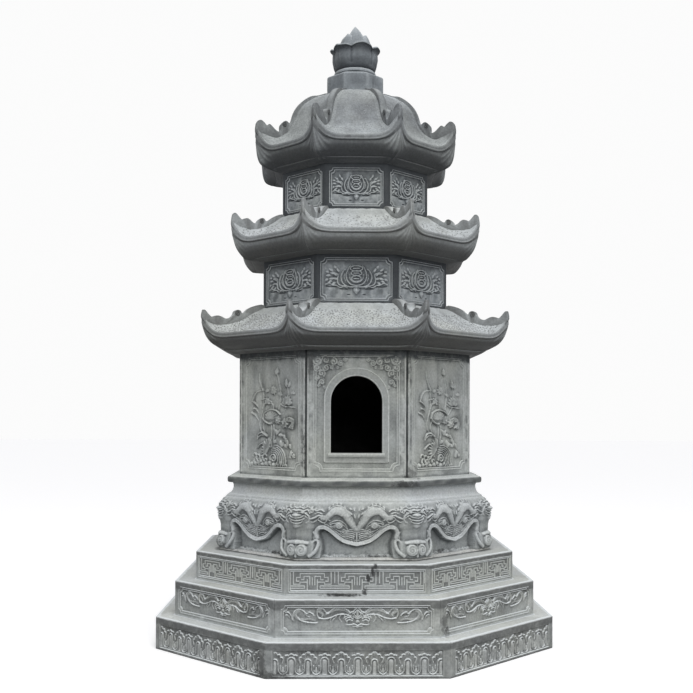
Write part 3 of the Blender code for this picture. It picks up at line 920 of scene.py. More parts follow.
def carve_middle():
    half = MIDDLE_FACE * TAN
    board = Face(half, MIDDLE_Z0, MIDDLE_Z1, STEP_GRID)
    field_half, field_z0, field_z1 = half - 0.050, MIDDLE_Z0 + 0.034, MIDDLE_Z1 - 0.044
    draw_ribbons(board)
    rim = rim_distance(board, field_half, field_z0, field_z1, MIDDLE_NOTCH)
    board.h *= ease((rim - 0.008) / 0.005)
    ground = FIELD_DEPTH * ease(rim / 0.004)
    pits = ripple(board.x, board.z, 0.010, 7) * ripple(board.x, board.z, 0.016, 17)
    ground = ground + (0.0010 * pits + 0.0005) * (rim > 0.006) * (board.h < 0.001)
    depth = np.maximum(ground - board.h, 0) * (rim > 0) + worn_edges(board, 0.0035, 12)
    depth += 0.0004 * (ripple(board.x, board.z, 0.09, 6) + 1) * (rim <= 0)
    tone = board.tone() + 0.12 * (rim > 0) - 0.3 * (pits > 0.35) * (rim > 0.006) * (board.h < 0.001)
    tone += 0.25 * ripple(board.x, board.z * 3, 0.25, 24)
    stone = block("middle step stone", board, np.maximum(depth, 0), MIDDLE_FACE, STEP_INNER, STEP_KEPT, tone)
    lines = [border(field_half + 0.010, field_z0 - 0.010, field_z1 + 0.008, MIDDLE_NOTCH, MIDDLE_FACE - 0.001, 0.0030,
                    STEP_STONE, 0.6),
             border(field_half - 0.004, field_z0 + 0.004, field_z1 - 0.004, MIDDLE_NOTCH, MIDDLE_FACE - 0.004, 0.0042,
                    STEP_STONE, 0.6)]
    return joined("middle step stone", [stone] + lines)


mesh = carve_middle()
place_round(mesh, "middle_step", "step_stone", STEP_STONE)
print("middle step:", len(mesh.polygons), "faces a stone")

# %% [markdown]
# ## The upper step: a key fret
# The key fret is a band of upright and hanging T shapes with square hooks between them. It is the same cell again
# and again, so Geometry Nodes makes it: a drawing of one cell in straight lines is repeated along the stone and
# gets a flat-backed bar along every line. The bars then join the stone they are carved from.

# %% The fret tree
def fret_tree():
    group, given, result, w = geometry_tree("Key fret", [
        ("Cells", "Int", 3), ("Cell width", "Float", 0.27), ("Bar", "Float", 0.009), ("Stone", "Material", None)])
    lines = w.node("GeometryNodeMeshToCurve", {"Mesh": given["Geometry"]}).outputs["Curve"]
    shares = {"Bottom Width": 1.25, "Top Width": 0.85, "Height": 1.2}
    sizes = {label: w.times(given["Bar"], share) for label, share in shares.items()}
    shape = w.node("GeometryNodeCurvePrimitiveQuadrilateral", {**sizes, "Offset": 0.0}, mode="TRAPEZOID")
    bars = w.node("GeometryNodeCurveToMesh", {"Curve": lines, "Profile Curve": shape.outputs["Curve"],
                                              "Fill Caps": True})
    pace = w.node("ShaderNodeCombineXYZ", {"X": given["Cell width"]}).outputs[0]
    row = w.node("GeometryNodeMeshLine", {"Count": given["Cells"], "Offset": pace}, mode="OFFSET")
    spread = w.node("GeometryNodeInstanceOnPoints", {"Points": row.outputs["Mesh"], "Instance": bars.outputs["Mesh"]})
    finish_tree(w, spread.outputs["Instances"], given["Stone"], result)
    return group


# %% Carving of the upper step
UPPER_Z0, UPPER_Z1 = levels("upper_step_1")
FRET_CELLS, FRET_SHEET = 3, 0.000757


def carve_upper():
    half = UPPER_FACE * TAN
    board = Face(half, UPPER_Z0, UPPER_Z1, 0.008)
    field_half, field_z0, field_z1 = half - 0.028, UPPER_Z0 + 0.024, UPPER_Z1 - 0.036
    rim = rim_distance(board, field_half, field_z0, field_z1)
    depth = 0.006 * ease(rim / 0.004) + worn_edges(board, 0.0035, 13)
    depth += 0.0005 * (ripple(board.x, board.z, 0.06, 8) + 1)
    # The sunk field behind the fret is darker: painted shade.
    tone = 0.15 * ripple(board.x, board.z, 0.08, 9) - 0.75 * (rim > 0)
    stone = block("upper step stone", board, depth, UPPER_FACE, STEP_INNER, None, tone)

    ground = -UPPER_FACE + 0.0050
    cell = 357 * FRET_SHEET

    def at(*points):
        """Points of the fret drawing: across from the middle of a cell, down from the stone's top edge."""
        return [(u * FRET_SHEET - cell, ground, UPPER_Z1 - v * FRET_SHEET) for u, v in points]

    chains = [at((0, 104), (0, 166))]
    for s in (-1, 1):
        for line in ([(0, 74), (96, 74), (96, 104), (126, 104), (126, 134), (104, 134)],
                     [(20, 96), (66, 96), (66, 122), (88, 122)], [(20, 96), (20, 166)],
                     [(40, 120), (40, 204)], [(40, 142), (98, 142), (98, 158), (150, 158), (150, 60)],
                     [(62, 172), (178.5, 172)], [(62, 172), (62, 190), (178.5, 190)]):
            chains.append(at(*[(s * u, v) for u, v in line]))
    chains.append(at((178.5, 60), (178.5, 150)))
    fret = run_tree(fret_tree(), wire_mesh("fret cell", chains),
                    {"Cells": FRET_CELLS, "Cell width": cell, "Bar": 0.0058, "Stone": STEP_STONE})
    low, high, wide = field_z0 + 0.006, field_z1 - 0.006, field_half - 0.006
    inner = beads([rectangle(wide, low, high)], UPPER_FACE - 0.004, 0.0038, STEP_STONE, 4, tone=0.6)
    outer = beads([rectangle(wide + 0.009, low - 0.009, high + 0.009)], UPPER_FACE, 0.0028, STEP_STONE, 4, tone=0.6)
    return joined("upper step stone", [stone, toned(fret, 0.85), inner, outer])


mesh = carve_upper()
place_round(mesh, "upper_step", "step_stone", STEP_STONE)
print("upper step:", len(mesh.polygons), "faces a stone")

# %% [markdown]
# ## The carved waist
# The waist is one ring of stone with a swelling belly. At each corner an animal mask bites the top of a leg that
# ends in a pair of scrolls. Between the legs a curved apron hangs, with a raised rim, and two scaly dragon bodies
# arch from the masks to a palmette in the middle. Below the apron the stone is cut back to a plain wall. All of
# this is drawn on one face whose two ends each hold half a mask, so the eight faces join without a seam.

# %% Carving of the waist
WAIST_Z0, WAIST_Z1 = levels("waist")
WAIST_RADII = [(0.982, 0.642), (0.984, 0.690), (0.966, 0.745), (0.968, 0.800), (0.980, 0.860), (0.984, 0.905),
               (0.974, 0.940), (0.956, 0.968), (0.945, 0.9795), (0.933, 0.981), (0.930, 0.9965), (0.914, 0.998),
               (0.897, 1.016), (0.887, 1.040), (0.886, 1.058), (0.892, 1.0727)]
WAIST_SHEET, BELLY_TOP, WAIST_FACE = 0.00083, 0.980, 0.920
WAIST_GRID, WAIST_KEPT = 0.0036, 0.26
APRON_BACK = 0.858


def signed_inside(board, outline):
    """Distance inside a closed outline, negative outside."""
    loop = np.vstack([outline, outline[:1]])
    away, _ = board.distance(loop, np.s_[:, :])
    inside = np.zeros(board.x.shape, bool)
    for (x0, z0), (x1, z1) in zip(loop[:-1], loop[1:]):
        if z0 != z1:
            crosses = (board.z < z0) != (board.z < z1)
            inside ^= crosses & (board.x < x0 + (board.z - z0) / (z1 - z0) * (x1 - x0))
    return np.where(inside, away, -away)


def apron_edge():
    """The lower edge of the apron from the middle to the leg, then down the leg's inner side."""
    return smooth([(0, 0.713), (0.078, 0.732), (0.128, 0.760), (0.169, 0.794), (0.194, 0.809), (0.2145, 0.815),
                   (0.2335, 0.809), (0.241, 0.792), (0.235, 0.767), (0.2245, 0.742), (0.220, 0.717), (0.221, 0.692),
                   (0.227, 0.667), (0.233, 0.630)], 70)


def belly(*points):
    """Points of the belly drawing, counted left from the middle and down from the belly's upper edge."""
    return np.array([(x * WAIST_SHEET, BELLY_TOP - y * WAIST_SHEET) for x, y in points])


def draw_mask(board, c):
    """Half an animal mask and its leg, drawn from the corner at x = c inwards on both ends of the face."""
    def near(*points):
        return np.array([(c - u, z) for u, z in points])

    stroke = pen(board.both, near)
    # Leg: one broad smooth body that swells at the shoulders, on a disc with a faint scroll
    for s in (1, -1):
        board.pad([(s * (c - 0.040), 0.846), (s * (c - 0.040), 0.700)], 0.074, 0.007, 0.030)
        board.pad([(s * (c - 0.038), 0.692), (s * (c - 0.037), 0.692)], 0.043, 0.0190, 0.010)
        board.pad([(s * (c - 0.088), 0.726), (s * (c - 0.084), 0.672)], 0.030, 0.010, 0.012)
    board.domes((c - 0.076, 0.838), 0.036, 0.009, squash=1.1)
    board.domes((c - 0.030, 0.828), 0.030, 0.007, squash=1.3)
    board.both(spiral(c - 0.038, 0.692, 0.030, 1.6, 60, 1, 50), 0.0058, 0.0045, base=0.0185)
    board.both(near((0.072, 0.734), (0.030, 0.739), (-0.01, 0.740)), 0.0165, 0.024, taper=(0.75, 1.0))
    board.both(near((0.0, 0.735), (0.0, 0.655)), 0.012, 0.014)
    stroke(26, 0.0125, 0.0160, (0.098, 0.738), (0.122, 0.752), (0.137, 0.742), (0.134, 0.712), (0.118, 0.680),
           (0.086, 0.656), taper=(0.7, 1.1))
    stroke(16, 0.0065, 0.010, (0.108, 0.800), (0.114, 0.780), (0.110, 0.762), (0.122, 0.752))
    # Mask: wavy brows, a broad nose, three rows of lip and a chin
    for k, (z, w, h) in enumerate(((0.951, 0.0050, 0.008), (0.935, 0.0078, 0.014), (0.921, 0.0050, 0.010))):
        stroke(24, w, h, (-0.01, z - 0.003), (0.022, z + 0.004), (0.046, z - 0.004), (0.070, z + 0.005),
               (0.092 - 0.012 * k, z - 0.006), taper=(1.0, 0.6))
    board.domes((c, 0.907), 0.0125, 0.022, squash=2.9)
    board.domes((c - 0.042, 0.925), 0.010, 0.015, squash=1.3)
    board.domes((c, 0.8405), 0.018, 0.014, squash=2.1)
    for z, w in ((0.894, 0.050), (0.877, 0.054), (0.860, 0.044)):
        stroke(16, 0.0066, 0.0175, (w, z + 0.010), (w * 0.75, z + 0.001), (0.010, z - 0.004), (-0.01, z - 0.004),
               taper=(0.7, 1.0))
    stroke(18, 0.0085, 0.012, (0.060, 0.918), (0.078, 0.906), (0.086, 0.888), (0.080, 0.868), (0.064, 0.858),
           taper=(0.8, 0.7))
    board.both(spiral(c - 0.096, 0.930, 0.016, 1.4, 300, 1), 0.0044, 0.009)
    for u, z, lean in ((0.060, 0.958, -30), (0.030, 0.962, -12), (0.090, 0.950, -50), (0.112, 0.940, -62)):
        board.leaves((c - u, z - 0.004), lean, 0.020, 0.0065, 0.008, ribs=0)


def draw_dragons(board):
    """Two broad arched bodies with scales, bosses in leaf-shaped pockets and a feathered palmette between them."""
    stroke = pen(board.both, belly)
    stroke(26, 0.0300, 0.0160, (6, 200), (30, 168), (58, 128), (88, 84), (125, 58), taper=(0.55, 1.0))
    stroke(26, 0.0300, 0.0160, (125, 58), (172, 60), (206, 90), (232, 112), (262, 112), taper=(1.0, 0.42))
    scales = 0.0015 * np.sin(board.x * 500 + board.z * 290) * np.sin(board.z * 540 - np.abs(board.x) * 230)
    board.h += scales * (board.h > 0.006) * (np.abs(board.x) < 0.24)
    stroke(30, 0.0042, 0.0105, (38, 108), (70, 58), (120, 24), (172, 24), (214, 52), taper=(0.8, 0.8))
    for x, y, lean in ((52, 70, -48), (84, 36, -36), (118, 16, -20), (152, 10, -4), (186, 18, 14), (216, 40, 32)):
        board.leaves(belly((x, y))[0] - [0, 0.004], -lean, 0.022, 0.0065, 0.0085, ribs=0)
    # Whisker wave and the almond leaf beside the mask
    stroke(30, 0.0068, 0.0105, (205, 128), (245, 100), (285, 92), (315, 106), (352, 116), (386, 96),
           taper=(0.7, 1.0))
    stroke(30, 0.0036, 0.0105, (214, 118), (250, 96), (292, 118), (250, 146), (214, 118))
    board.domes(belly((252, 120))[0], 0.0115, 0.008, squash=1.6)
    stroke(20, 0.0052, 0.009, (300, 126), (330, 142), (360, 134), (392, 146), taper=(0.9, 0.5))
    stroke(20, 0.0050, 0.008, (248, 62), (276, 48), (306, 58), (336, 44), taper=(1.0, 0.5))
    stroke(14, 0.0042, 0.007, (262, 80), (290, 70), (318, 78), taper=(1.0, 0.5))
    # Bosses in pockets
    board.domes((0.112, 0.842), 0.0245, 0.009, squash=1.15)
    board.both(spiral(0.112, 0.842, 0.017, 1.5, 200, 1), 0.0036, 0.005, base=0.0075)
    stroke(44, 0.0034, 0.0060, (66, 204), (86, 160), (124, 132), (168, 132), (204, 154), (176, 184), (140, 206),
           (104, 216), (66, 204))
    for points in (((70, 196), (96, 168), (118, 162)), ((150, 158), (176, 150), (198, 158)), ((152, 186), (172, 176))):
        stroke(12, 0.0042, 0.0075, *points, taper=(0.6, 1.0))
    stroke(16, 0.0040, 0.008, (168, 166), (190, 176), (214, 172), (236, 186), taper=(1, 0.5))
    # Pearl, flames and the palmette
    board.dome((0, 0.815), 0.0130, 0.014)
    board.line(arc(0, 0.815, 0.019, 0, 360, 30), 0.0030, 0.008)
    for at, lean, size in (((0.016, 0.846), 24, 0.040), ((0.034, 0.872), 30, 0.046), ((0.018, 0.884), 8, 0.040),
                           ((0.048, 0.908), 44, 0.036), ((0.020, 0.928), 22, 0.034), ((0.050, 0.940), 62, 0.026)):
        board.leaves((at[0] * 0.6, at[1]), lean, size * 0.8, 0.0060, 0.0085, ribs=0)
    for k in range(5):
        start = (10 + 3 * k, 206 + 14 * k)
        stroke(18, 0.0056, 0.0105, start, (42 + 4 * k, 196 + 14 * k), (76 + 8 * k, 206 + 10 * k),
               (104 + 7 * k, 196 + 9 * k), taper=(1.0, 0.45))
    board.line([(0, 0.797), (0, 0.744)], 0.0085, 0.012, taper=(1.0, 0.6))


def carve_waist():
    half = WAIST_FACE * TAN
    board = Face(half, WAIST_Z0, WAIST_Z1, WAIST_GRID, edge=0.002)
    draw_dragons(board)
    edge = apron_edge()
    hollow = signed_inside(board, np.vstack([edge, mirror(edge)[::-1]]))
    board.h *= ease((-hollow - 0.022) / 0.006)
    rim = smooth([(0, 0.727), (0.075, 0.745), (0.120, 0.772), (0.160, 0.806), (0.190, 0.826), (0.2145, 0.832),
                  (0.243, 0.823), (0.257, 0.800), (0.252, 0.768)], 50)
    draw_mask(board, half)
    for path in (rim, mirror(rim)):
        board.pad(path, 0.0150, 0.0130, 0.0060)
    board.both(rim[:36] + [0.004, -0.0075], 0.0040, 0.0160)
    board.both(rim[:30] + [-0.003, 0.0195], 0.0034, 0.0080)
    radii = np.array(WAIST_RADII)
    face_at = np.interp(board.zs, radii[:, 1], radii[:, 0]) * COS - 0.003
    cut = ease((hollow + 0.002) / 0.006)
    depth = -board.h * (hollow < 0) * (board.z < 0.978)
    depth = depth * (1 - cut) + cut * (face_at[:, None] - APRON_BACK + 0.003 * ripple(board.x, board.z, 0.12, 3))
    foot = WAIST_Z0 + 0.014 + 0.005 * ripple(board.x, board.z, 0.05, 10)
    depth -= cut * 0.007 * ease((foot - board.z) / 0.004) * (1 + 0.5 * ripple(board.x, board.z, 0.02, 15))
    depth += 0.0006 * ripple(board.x, board.z, 0.02, 9) * (board.z < 0.975)
    tone = board.tone(9, 170.0) * (hollow < 0) * (board.z < 0.985)
    tone = np.clip(tone, -0.9, 0.8) + 0.12 * (board.z > 0.84) * (hollow < 0)
    # The cut-back wall darkens towards its top under the apron, and a dark line runs along it just under the apron's
    # edge: painted shade.
    tone -= 0.55 * cut * ease((board.z - 0.62 - 0.11 * (1 - np.abs(board.x) / 0.24)) / 0.14)
    tone -= 0.8 * ease((0.012 - np.abs(hollow)) / 0.012) * (hollow > 0)
    # A pale mortar line at the foot of the cut-back wall, and painted shade in the joint at the very bottom.
    tone += 0.35 * cut * ease((foot - board.z) / 0.003) - 0.7 * ease((WAIST_Z0 + 0.004 - board.z) / 0.003)
    return ring("carved waist", board, depth, face_at, WAIST_KEPT, tone)


# Waist stone: its dark patches at the foot of the cut-back wall are painted shade with dirt.
WAIST_STONE = limestone(
    "waist stone", (0.33, 0.352, 0.355), (0.56, 0.59, 0.60), (0.105, 0.115, 0.12), Drift=0.45, Dust=0.75, Shade=0.65,
    Streaks=0.3, Worn=0.85, Grain=0.7,
    stains_and_shade=[((-0.86, -0.32, 0.675), (0.10, 0.13, 0.036), 0.9), ((0.60, -0.72, 0.655), (0.12, 0.14, 0.022), 0.8),
            ((-0.52, -0.76, 0.650), (0.16, 0.14, 0.013), 0.9), ((0.13, -0.90, 0.648), (0.12, 0.1, 0.010), 0.8)])
mesh = carve_waist()
place(mesh, "carved_waist", ["waist"], "waist_stone", WAIST_STONE)
print("waist:", len(mesh.polygons), "faces")

# %% [markdown]
# ## Slab, mortar bed and core
# The slab under the body is plain, with rounded edges. The mortar bed squeezes out of the joint under the waist, and
# the filling inside the steps only shows as a level top.

# %% Slab, mortar and core
SLAB_PROFILE = [(0.898, 1.073), (0.918, 1.0755), (0.9255, 1.081), (0.927, 1.090), (0.927, 1.102), (0.9245, 1.111),
                (0.917, 1.1165), (0.904, 1.1195), (0.896, 1.1235), (0.890, 1.1297)]


def plain_ring(name, profile, step, wear, seed, size=0.05, shade=0.0):
    """An eight-sided body from (corner radius, height) pairs, with slightly uneven faces and worn corners.

    `shade` makes its upright faces darker."""
    radii = np.array(profile)
    widest = radii[:, 0].max() * SIN
    board = Face(widest, radii[0, 1], radii[-1, 1], step, edge=0.004)
    board.zs = radii[:, 1]
    board.x, board.z = np.meshgrid(board.xs, board.zs)
    board.h = np.zeros_like(board.x)
    face_at = radii[:, 0] * COS
    corner = np.clip(1 - (widest - np.abs(board.x)) / 0.006, 0, 1)
    depth = wear * (1 + ripple(board.x, board.z, size, seed)) + 0.0016 * corner ** 2
    steep = np.abs(np.gradient(radii[:, 0])) < 0.9 * np.abs(np.gradient(radii[:, 1]))
    tone = (0.3 * ripple(board.x, board.z * 2, 0.14, seed + 1) - shade) * ease(steep[:, None] * 1.0)
    return ring(name, board, depth, face_at, None, tone)


BODY_Z0, BODY_Z1 = levels("side_wall_1")
# Body stone: the two dark bands at the wall top are painted shade under the eave, and inside the hollow body the stone
# is painted black as shade.
BODY_STONE = limestone(
    "body stone", (0.330, 0.350, 0.342), (0.61, 0.64, 0.63), (0.062, 0.070, 0.072), Drift=0.6, Dust=0.6, Shade=0.7,
    Streaks=0.6, Worn=0.7, Grain=0.7, inner_shade=(0.758, 1.95),
    bands=[(BODY_Z1 - 0.052, BODY_Z1 + 0.03, 0.020, 1.0), (BODY_Z1 - 0.040, BODY_Z1 + 0.03, 0.014, 1.0),
           (BODY_Z0 - 0.01, BODY_Z0 + 0.012, 0.008, 0.6), (1.075, 1.110, 0.006, 0.28)],
    stains_and_shade=[((0.30, -0.84, 1.095), (0.10, 0.06, 0.030), 0.9), ((0.36, -0.78, 1.16), (0.07, 0.09, 0.06), 0.6),
            ((-0.33, -0.72, 1.30), (0.022, 0.08, 0.22), 0.75), ((0.33, -0.72, 1.85), (0.020, 0.08, 0.14), 0.7),
            ((-0.30, -0.78, 1.86), (0.035, 0.06, 0.10), 0.6)])
MORTAR = limestone("mortar", (0.40, 0.41, 0.40), (0.58, 0.59, 0.58), (0.14, 0.14, 0.14), relief=0.004, Drift=0.8,
                   Dust=0.5, Shade=0.6, Streaks=0.1, Worn=0.3, Grain=0.9)
mesh = plain_ring("moulded slab", SLAB_PROFILE, 0.016, 0.0006, 21, shade=1.3)
place(mesh, "carved_slab", ["moulded_slab"], "body_stone", BODY_STONE)
mesh = plain_ring("mortar bed", [(0.972, 0.625), (0.9795, 0.6285), (0.9765, 0.634), (0.973, 0.638), (0.969, 0.6417)],
                  0.010, 0.0035, 22, 0.07)
place(mesh, "uneven_mortar_bed", ["mortar_bed"], "mortar", MORTAR)
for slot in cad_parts["step_core"].material_slots:
    slot.material = MORTAR
print("slab and mortar bed placed")

# %% [markdown]
# ## The body: seven lotus ponds and one niche
# Each side wall shows a pond from its bed to the air: small waves and rocks and one large swirl at the foot, stems
# and folded leaves in the middle, reeds, buds and blooms at the top. The drawing was measured on a sheet 610 wide
# and 1290 high, which `sheet` turns into metres on the wall.

# %% Side walls
BODY_FACE, BODY_INNER = 0.776, 0.686
BODY_GRID, SIDE_KEPT, FRONT_KEPT = 0.0042, 0.26, 0.34
PANEL_HALF, PANEL_Z0, PANEL_Z1, PANEL_NOTCH, PANEL_DEPTH = 0.260, 1.181, 1.897, 0.040, 0.007
SHEET_X, SHEET_Z = 0.52 / 610, 0.72 / 1290


def sheet(*points):
    """Points of the pond drawing, counted from the top left of the sheet, in metres on the wall."""
    return np.array([((x - 305) * SHEET_X, PANEL_Z1 - y * SHEET_Z) for x, y in points])


def spot(x, y):
    """One point of the pond drawing."""
    return sheet((x, y))[0]


def spray(board, at, size, leans, width, height, ribs=1):
    """Leaves or petals that fan out from one point."""
    for lean in leans:
        board.leaf(at, lean, size * (1 - 0.12 * abs(lean) / 90), size * width, height, ribs=ribs)


def draw_pond(board):
    stroke = pen(board.line, sheet)
    # Stems
    for points, w in (([(360, 180), (385, 300), (400, 420), (380, 600)], 0.0030),
                      ([(290, 510), (315, 560), (318, 610)], 0.0035), ([(480, 540), (450, 610), (420, 660)], 0.003),
                      ([(195, 380), (205, 480), (190, 620), (160, 760), (175, 850), (205, 900)], 0.0035),
                      ([(215, 740), (200, 800), (215, 860), (210, 900)], 0.003),
                      ([(290, 760), (300, 860), (290, 960), (300, 1040)], 0.0045),
                      ([(320, 780), (330, 880), (318, 980)], 0.0035), ([(470, 330), (485, 400), (480, 500)], 0.0028)):
        stroke(24, w, 0.006, *points)
    # Reeds on the left
    for points, w in (([(200, 375), (175, 310), (155, 240), (152, 170)], 0.0075),
                      ([(80, 490), (95, 440), (130, 395), (190, 380)], 0.0085),
                      ([(75, 505), (110, 530), (140, 570)], 0.008), ([(90, 590), (120, 600), (142, 640)], 0.007),
                      ([(65, 640), (110, 670), (145, 735)], 0.0085), ([(195, 590), (215, 540), (235, 505)], 0.006)):
        stroke(24, w, 0.0095, *points, taper=(1.0, 0.35))
    # Buds, blooms and the lily
    board.leaf(spot(358, 200), 4, 0.048, 0.017, 0.014, ribs=2)
    board.leaf(spot(470, 350), -6, 0.058, 0.017, 0.012, ribs=2)
    board.leaf(spot(492, 352), 16, 0.045, 0.011, 0.010, ribs=1)
    spray(board, spot(318, 385), 0.036, (-110, -70, -32, 0, 34, 72, 108, 150, -150), 0.30, 0.010)
    board.dome(spot(318, 375), 0.008, 0.013)
    spray(board, spot(250, 400), 0.026, (-60, -20, 20), 0.32, 0.009)
    spray(board, spot(395, 440), 0.026, (-40, 0, 40, 80), 0.3, 0.009)
    spray(board, spot(252, 525), 0.040, (-95, -55, -18, 22, 62, 100), 0.24, 0.011)
    stroke(16, 0.006, 0.010, (180, 490), (240, 480), (300, 515), taper=(0.5, 0.6))
    spray(board, spot(475, 545), 0.060, (-72, -44, -20, 0, 22, 46, 74), 0.26, 0.012, 2)
    spray(board, spot(475, 548), 0.038, (-14, 14), 0.34, 0.016, 1)
    stroke(20, 0.006, 0.009, (405, 540), (440, 565), (490, 575), (560, 580), taper=(0.7, 0.5))
    spray(board, spot(540, 430), 0.024, (-60, 0, 60), 0.35, 0.009)
    # Folded leaf with a flower in front of it
    board.dome(spot(290, 690), 0.044, 0.010, squash=1.75)
    for k in range(9):
        lean = -80 + 20 * k
        board.leaf(spot(295, 715), lean, 0.060, 0.0085, 0.0105, ribs=0, base=0.003)
    stroke(20, 0.0065, 0.014, (205, 700), (230, 740), (280, 768), (300, 762))
    stroke(24, 0.0050, 0.012, (205, 700), (225, 640), (290, 605), (360, 620), (400, 660))
    spray(board, spot(372, 730), 0.034, (-120, -75, -30, 15, 60, 105, 150, 195), 0.30, 0.015)
    board.dome(spot(372, 730), 0.010, 0.019)
    spray(board, spot(450, 770), 0.040, (-150, -110, -60, -10, 40, 90, 140, 190), 0.28, 0.013)
    board.dome(spot(440, 765), 0.012, 0.016)
    # Drooping leaf on the right
    for k in range(4):
        stroke(20, 0.0056, 0.011, (460 + 8 * k, 715 + 10 * k), (505 + 6 * k, 700 + 14 * k),
               (548 - 7 * k, 735 + 12 * k), (540 - 14 * k, 825 - 4 * k), taper=(0.6, 1.0))
    # Umbrella leaf, small leaves below the middle
    stroke(24, 0.0085, 0.012, (135, 950), (150, 895), (195, 875), (245, 910), taper=(0.7, 1.0))
    stroke(16, 0.0050, 0.009, (150, 930), (175, 905), (215, 905))
    board.leaf(spot(275, 990), -8, 0.040, 0.012, 0.010, ribs=2)
    for at, lean, size in (((355, 905), 30, 0.050), ((380, 900), 85, 0.048), ((425, 900), 115, 0.046),
                           ((455, 930), 150, 0.045), ((400, 960), 165, 0.042), ((480, 960), 175, 0.050),
                           ((370, 880), -60, 0.040), ((430, 985), 200, 0.040), ((350, 960), -140, 0.034),
                           ((500, 1000), 140, 0.036), ((445, 1010), 120, 0.034)):
        board.leaf(spot(*at), lean, size, 0.0125, 0.011, ribs=1, bend=0.2)
    # Scalloped leaf that lies over the water
    for k in range(9):
        board.leaf(spot(265, 1075), -128 + 18 * k, 0.078, 0.011, 0.010, ribs=0, base=0.001)
    stroke(20, 0.004, 0.011, (130, 1060), (175, 1010), (230, 1000), (285, 1040))
    # The swirl and the rings of water round it
    at = spot(325, 1172)
    board.pad([at, at + [0.002, 0.002]], 0.110, 0.0015, 0.02)
    board.line(spiral(at[0], at[1], 0.030, 1.6, 200, -1), 0.0062, 0.012, taper=(1.0, 0.8))
    for k in range(5):
        board.line(arc(at[0] + 0.004 * k, at[1] - 0.004 - 0.003 * k, 0.044 + 0.0140 * k, 128 - 7 * k, -48, 30), 0.0056,
                   0.011, taper=(0.5, 1.0))
    # Rosettes, rocks and small waves
    for cx, cy, r in ((520, 1115, 0.016), (548, 1140, 0.014), (510, 1150, 0.012)):
        spray(board, spot(cx, cy), r * 1.5, range(0, 360, 60), 0.34, 0.011)
    for k in range(4):
        cx = 105 + 40 * k
        board.line(arc(*spot(cx, 1150 + 14 * (k % 3)), 0.017, 190, 10, 12), 0.0045, 0.010)
        board.line(arc(*spot(cx + 8, 1190 + 10 * (k % 2)), 0.012, 200, 0, 12), 0.0042, 0.010)
        board.dome(spot(cx - 6, 1212 - 9 * (k % 2)), 0.011, 0.011)
    for k in range(9):
        board.dome(spot(70 + 42 * k, 1246 - 12 * (k % 3)), 0.015 - 0.003 * (k % 2), 0.011, squash=1.25)
        board.line(arc(*spot(90 + 46 * k, 1262), 0.014, 170, 10, 10), 0.004, 0.008)


def wall_ground(board, rim):
    """How deep a wall's panel and its joints lie."""
    depth = PANEL_DEPTH * ease(rim / 0.006)
    depth += (0.0007 + 0.0005 * ripple(board.x, board.z, 0.011, 31)) * (rim > 0.004)
    gap = board.half - np.abs(board.x)
    joint = 0.007 + 0.0025 * ripple(board.z, board.z * 0, 0.11, 32) * np.sign(board.x)
    depth += 0.011 * ease((joint - gap) / 0.003)
    return depth + 0.0006 * ripple(board.x, board.z, 0.2, 33)


def wall_tone(board, rim, ground=0.22):
    """Pale ground with painted shade in the hollows round the carving and painted highlights on it, black joints with
    pale mortar, and darker stone towards the wall's foot.
    """
    tone = np.clip(board.tone(5, 330.0) - 0.5 * board.tone(12, 120.0) * (board.h > 0.002), -1, 1)
    tone += (ground + 0.12 * ripple(board.x, board.z, 0.014, 34)) * (rim > 0.004) * (board.h < 0.001)
    gap = board.half - np.abs(board.x)
    wander = 0.002 * ripple(board.z, board.z * 0, 0.09, 35)
    tone += 0.5 * np.exp(-((gap - 0.019 - wander) / 0.003) ** 2) - 1.5 * ease((0.013 + wander - gap) / 0.005)
    tone -= 0.35 * ease((BODY_Z0 + 0.05 - board.z) / 0.05)
    return tone + 0.35 * ripple(board.x * 2, board.z, 0.22, 36)


def wall_beads():
    """The double border of a wall panel, and an upright raised strip near each end."""
    strip = BODY_FACE * TAN - 0.0145
    ends = [[(s * strip, BODY_Z0 + 0.012), (s * strip, BODY_Z1 - 0.01)] for s in (-1, 1)]
    return [border(PANEL_HALF + 0.010, PANEL_Z0 - 0.010, PANEL_Z1 + 0.006, PANEL_NOTCH, BODY_FACE - 0.001, 0.0042,
                   BODY_STONE, 0.5),
            border(PANEL_HALF - 0.004, PANEL_Z0 + 0.004, PANEL_Z1 - 0.004, PANEL_NOTCH, BODY_FACE - 0.003, 0.0046,
                   BODY_STONE, 0.7),
            beads(ends, BODY_FACE - 0.001, 0.0055, BODY_STONE, 8)]


def carve_side_wall():
    board = Face(BODY_FACE * TAN, BODY_Z0, BODY_Z1, BODY_GRID)
    draw_pond(board)
    rim = rim_distance(board, PANEL_HALF, PANEL_Z0, PANEL_Z1, PANEL_NOTCH)
    depth = wall_ground(board, rim) - board.h * 1.15 * ease((rim - 0.006) / 0.006)
    return block("side wall", board, depth, BODY_FACE, BODY_INNER, SIDE_KEPT, wall_tone(board, rim, 0.60))


mesh = joined("side wall", [carve_side_wall()] + wall_beads())
place_round(mesh, "side_wall", "body_stone", BODY_STONE, range(1, SIDES), 0)
print("side walls:", len(mesh.polygons), "faces each")

# %% [markdown]
# The front wall has clusters of curled cloud in its upper corners and the niche in the middle. The opening is cut
# with an exact Boolean through the finished block, and the arch then gets its flat band, two raised lines and sill.

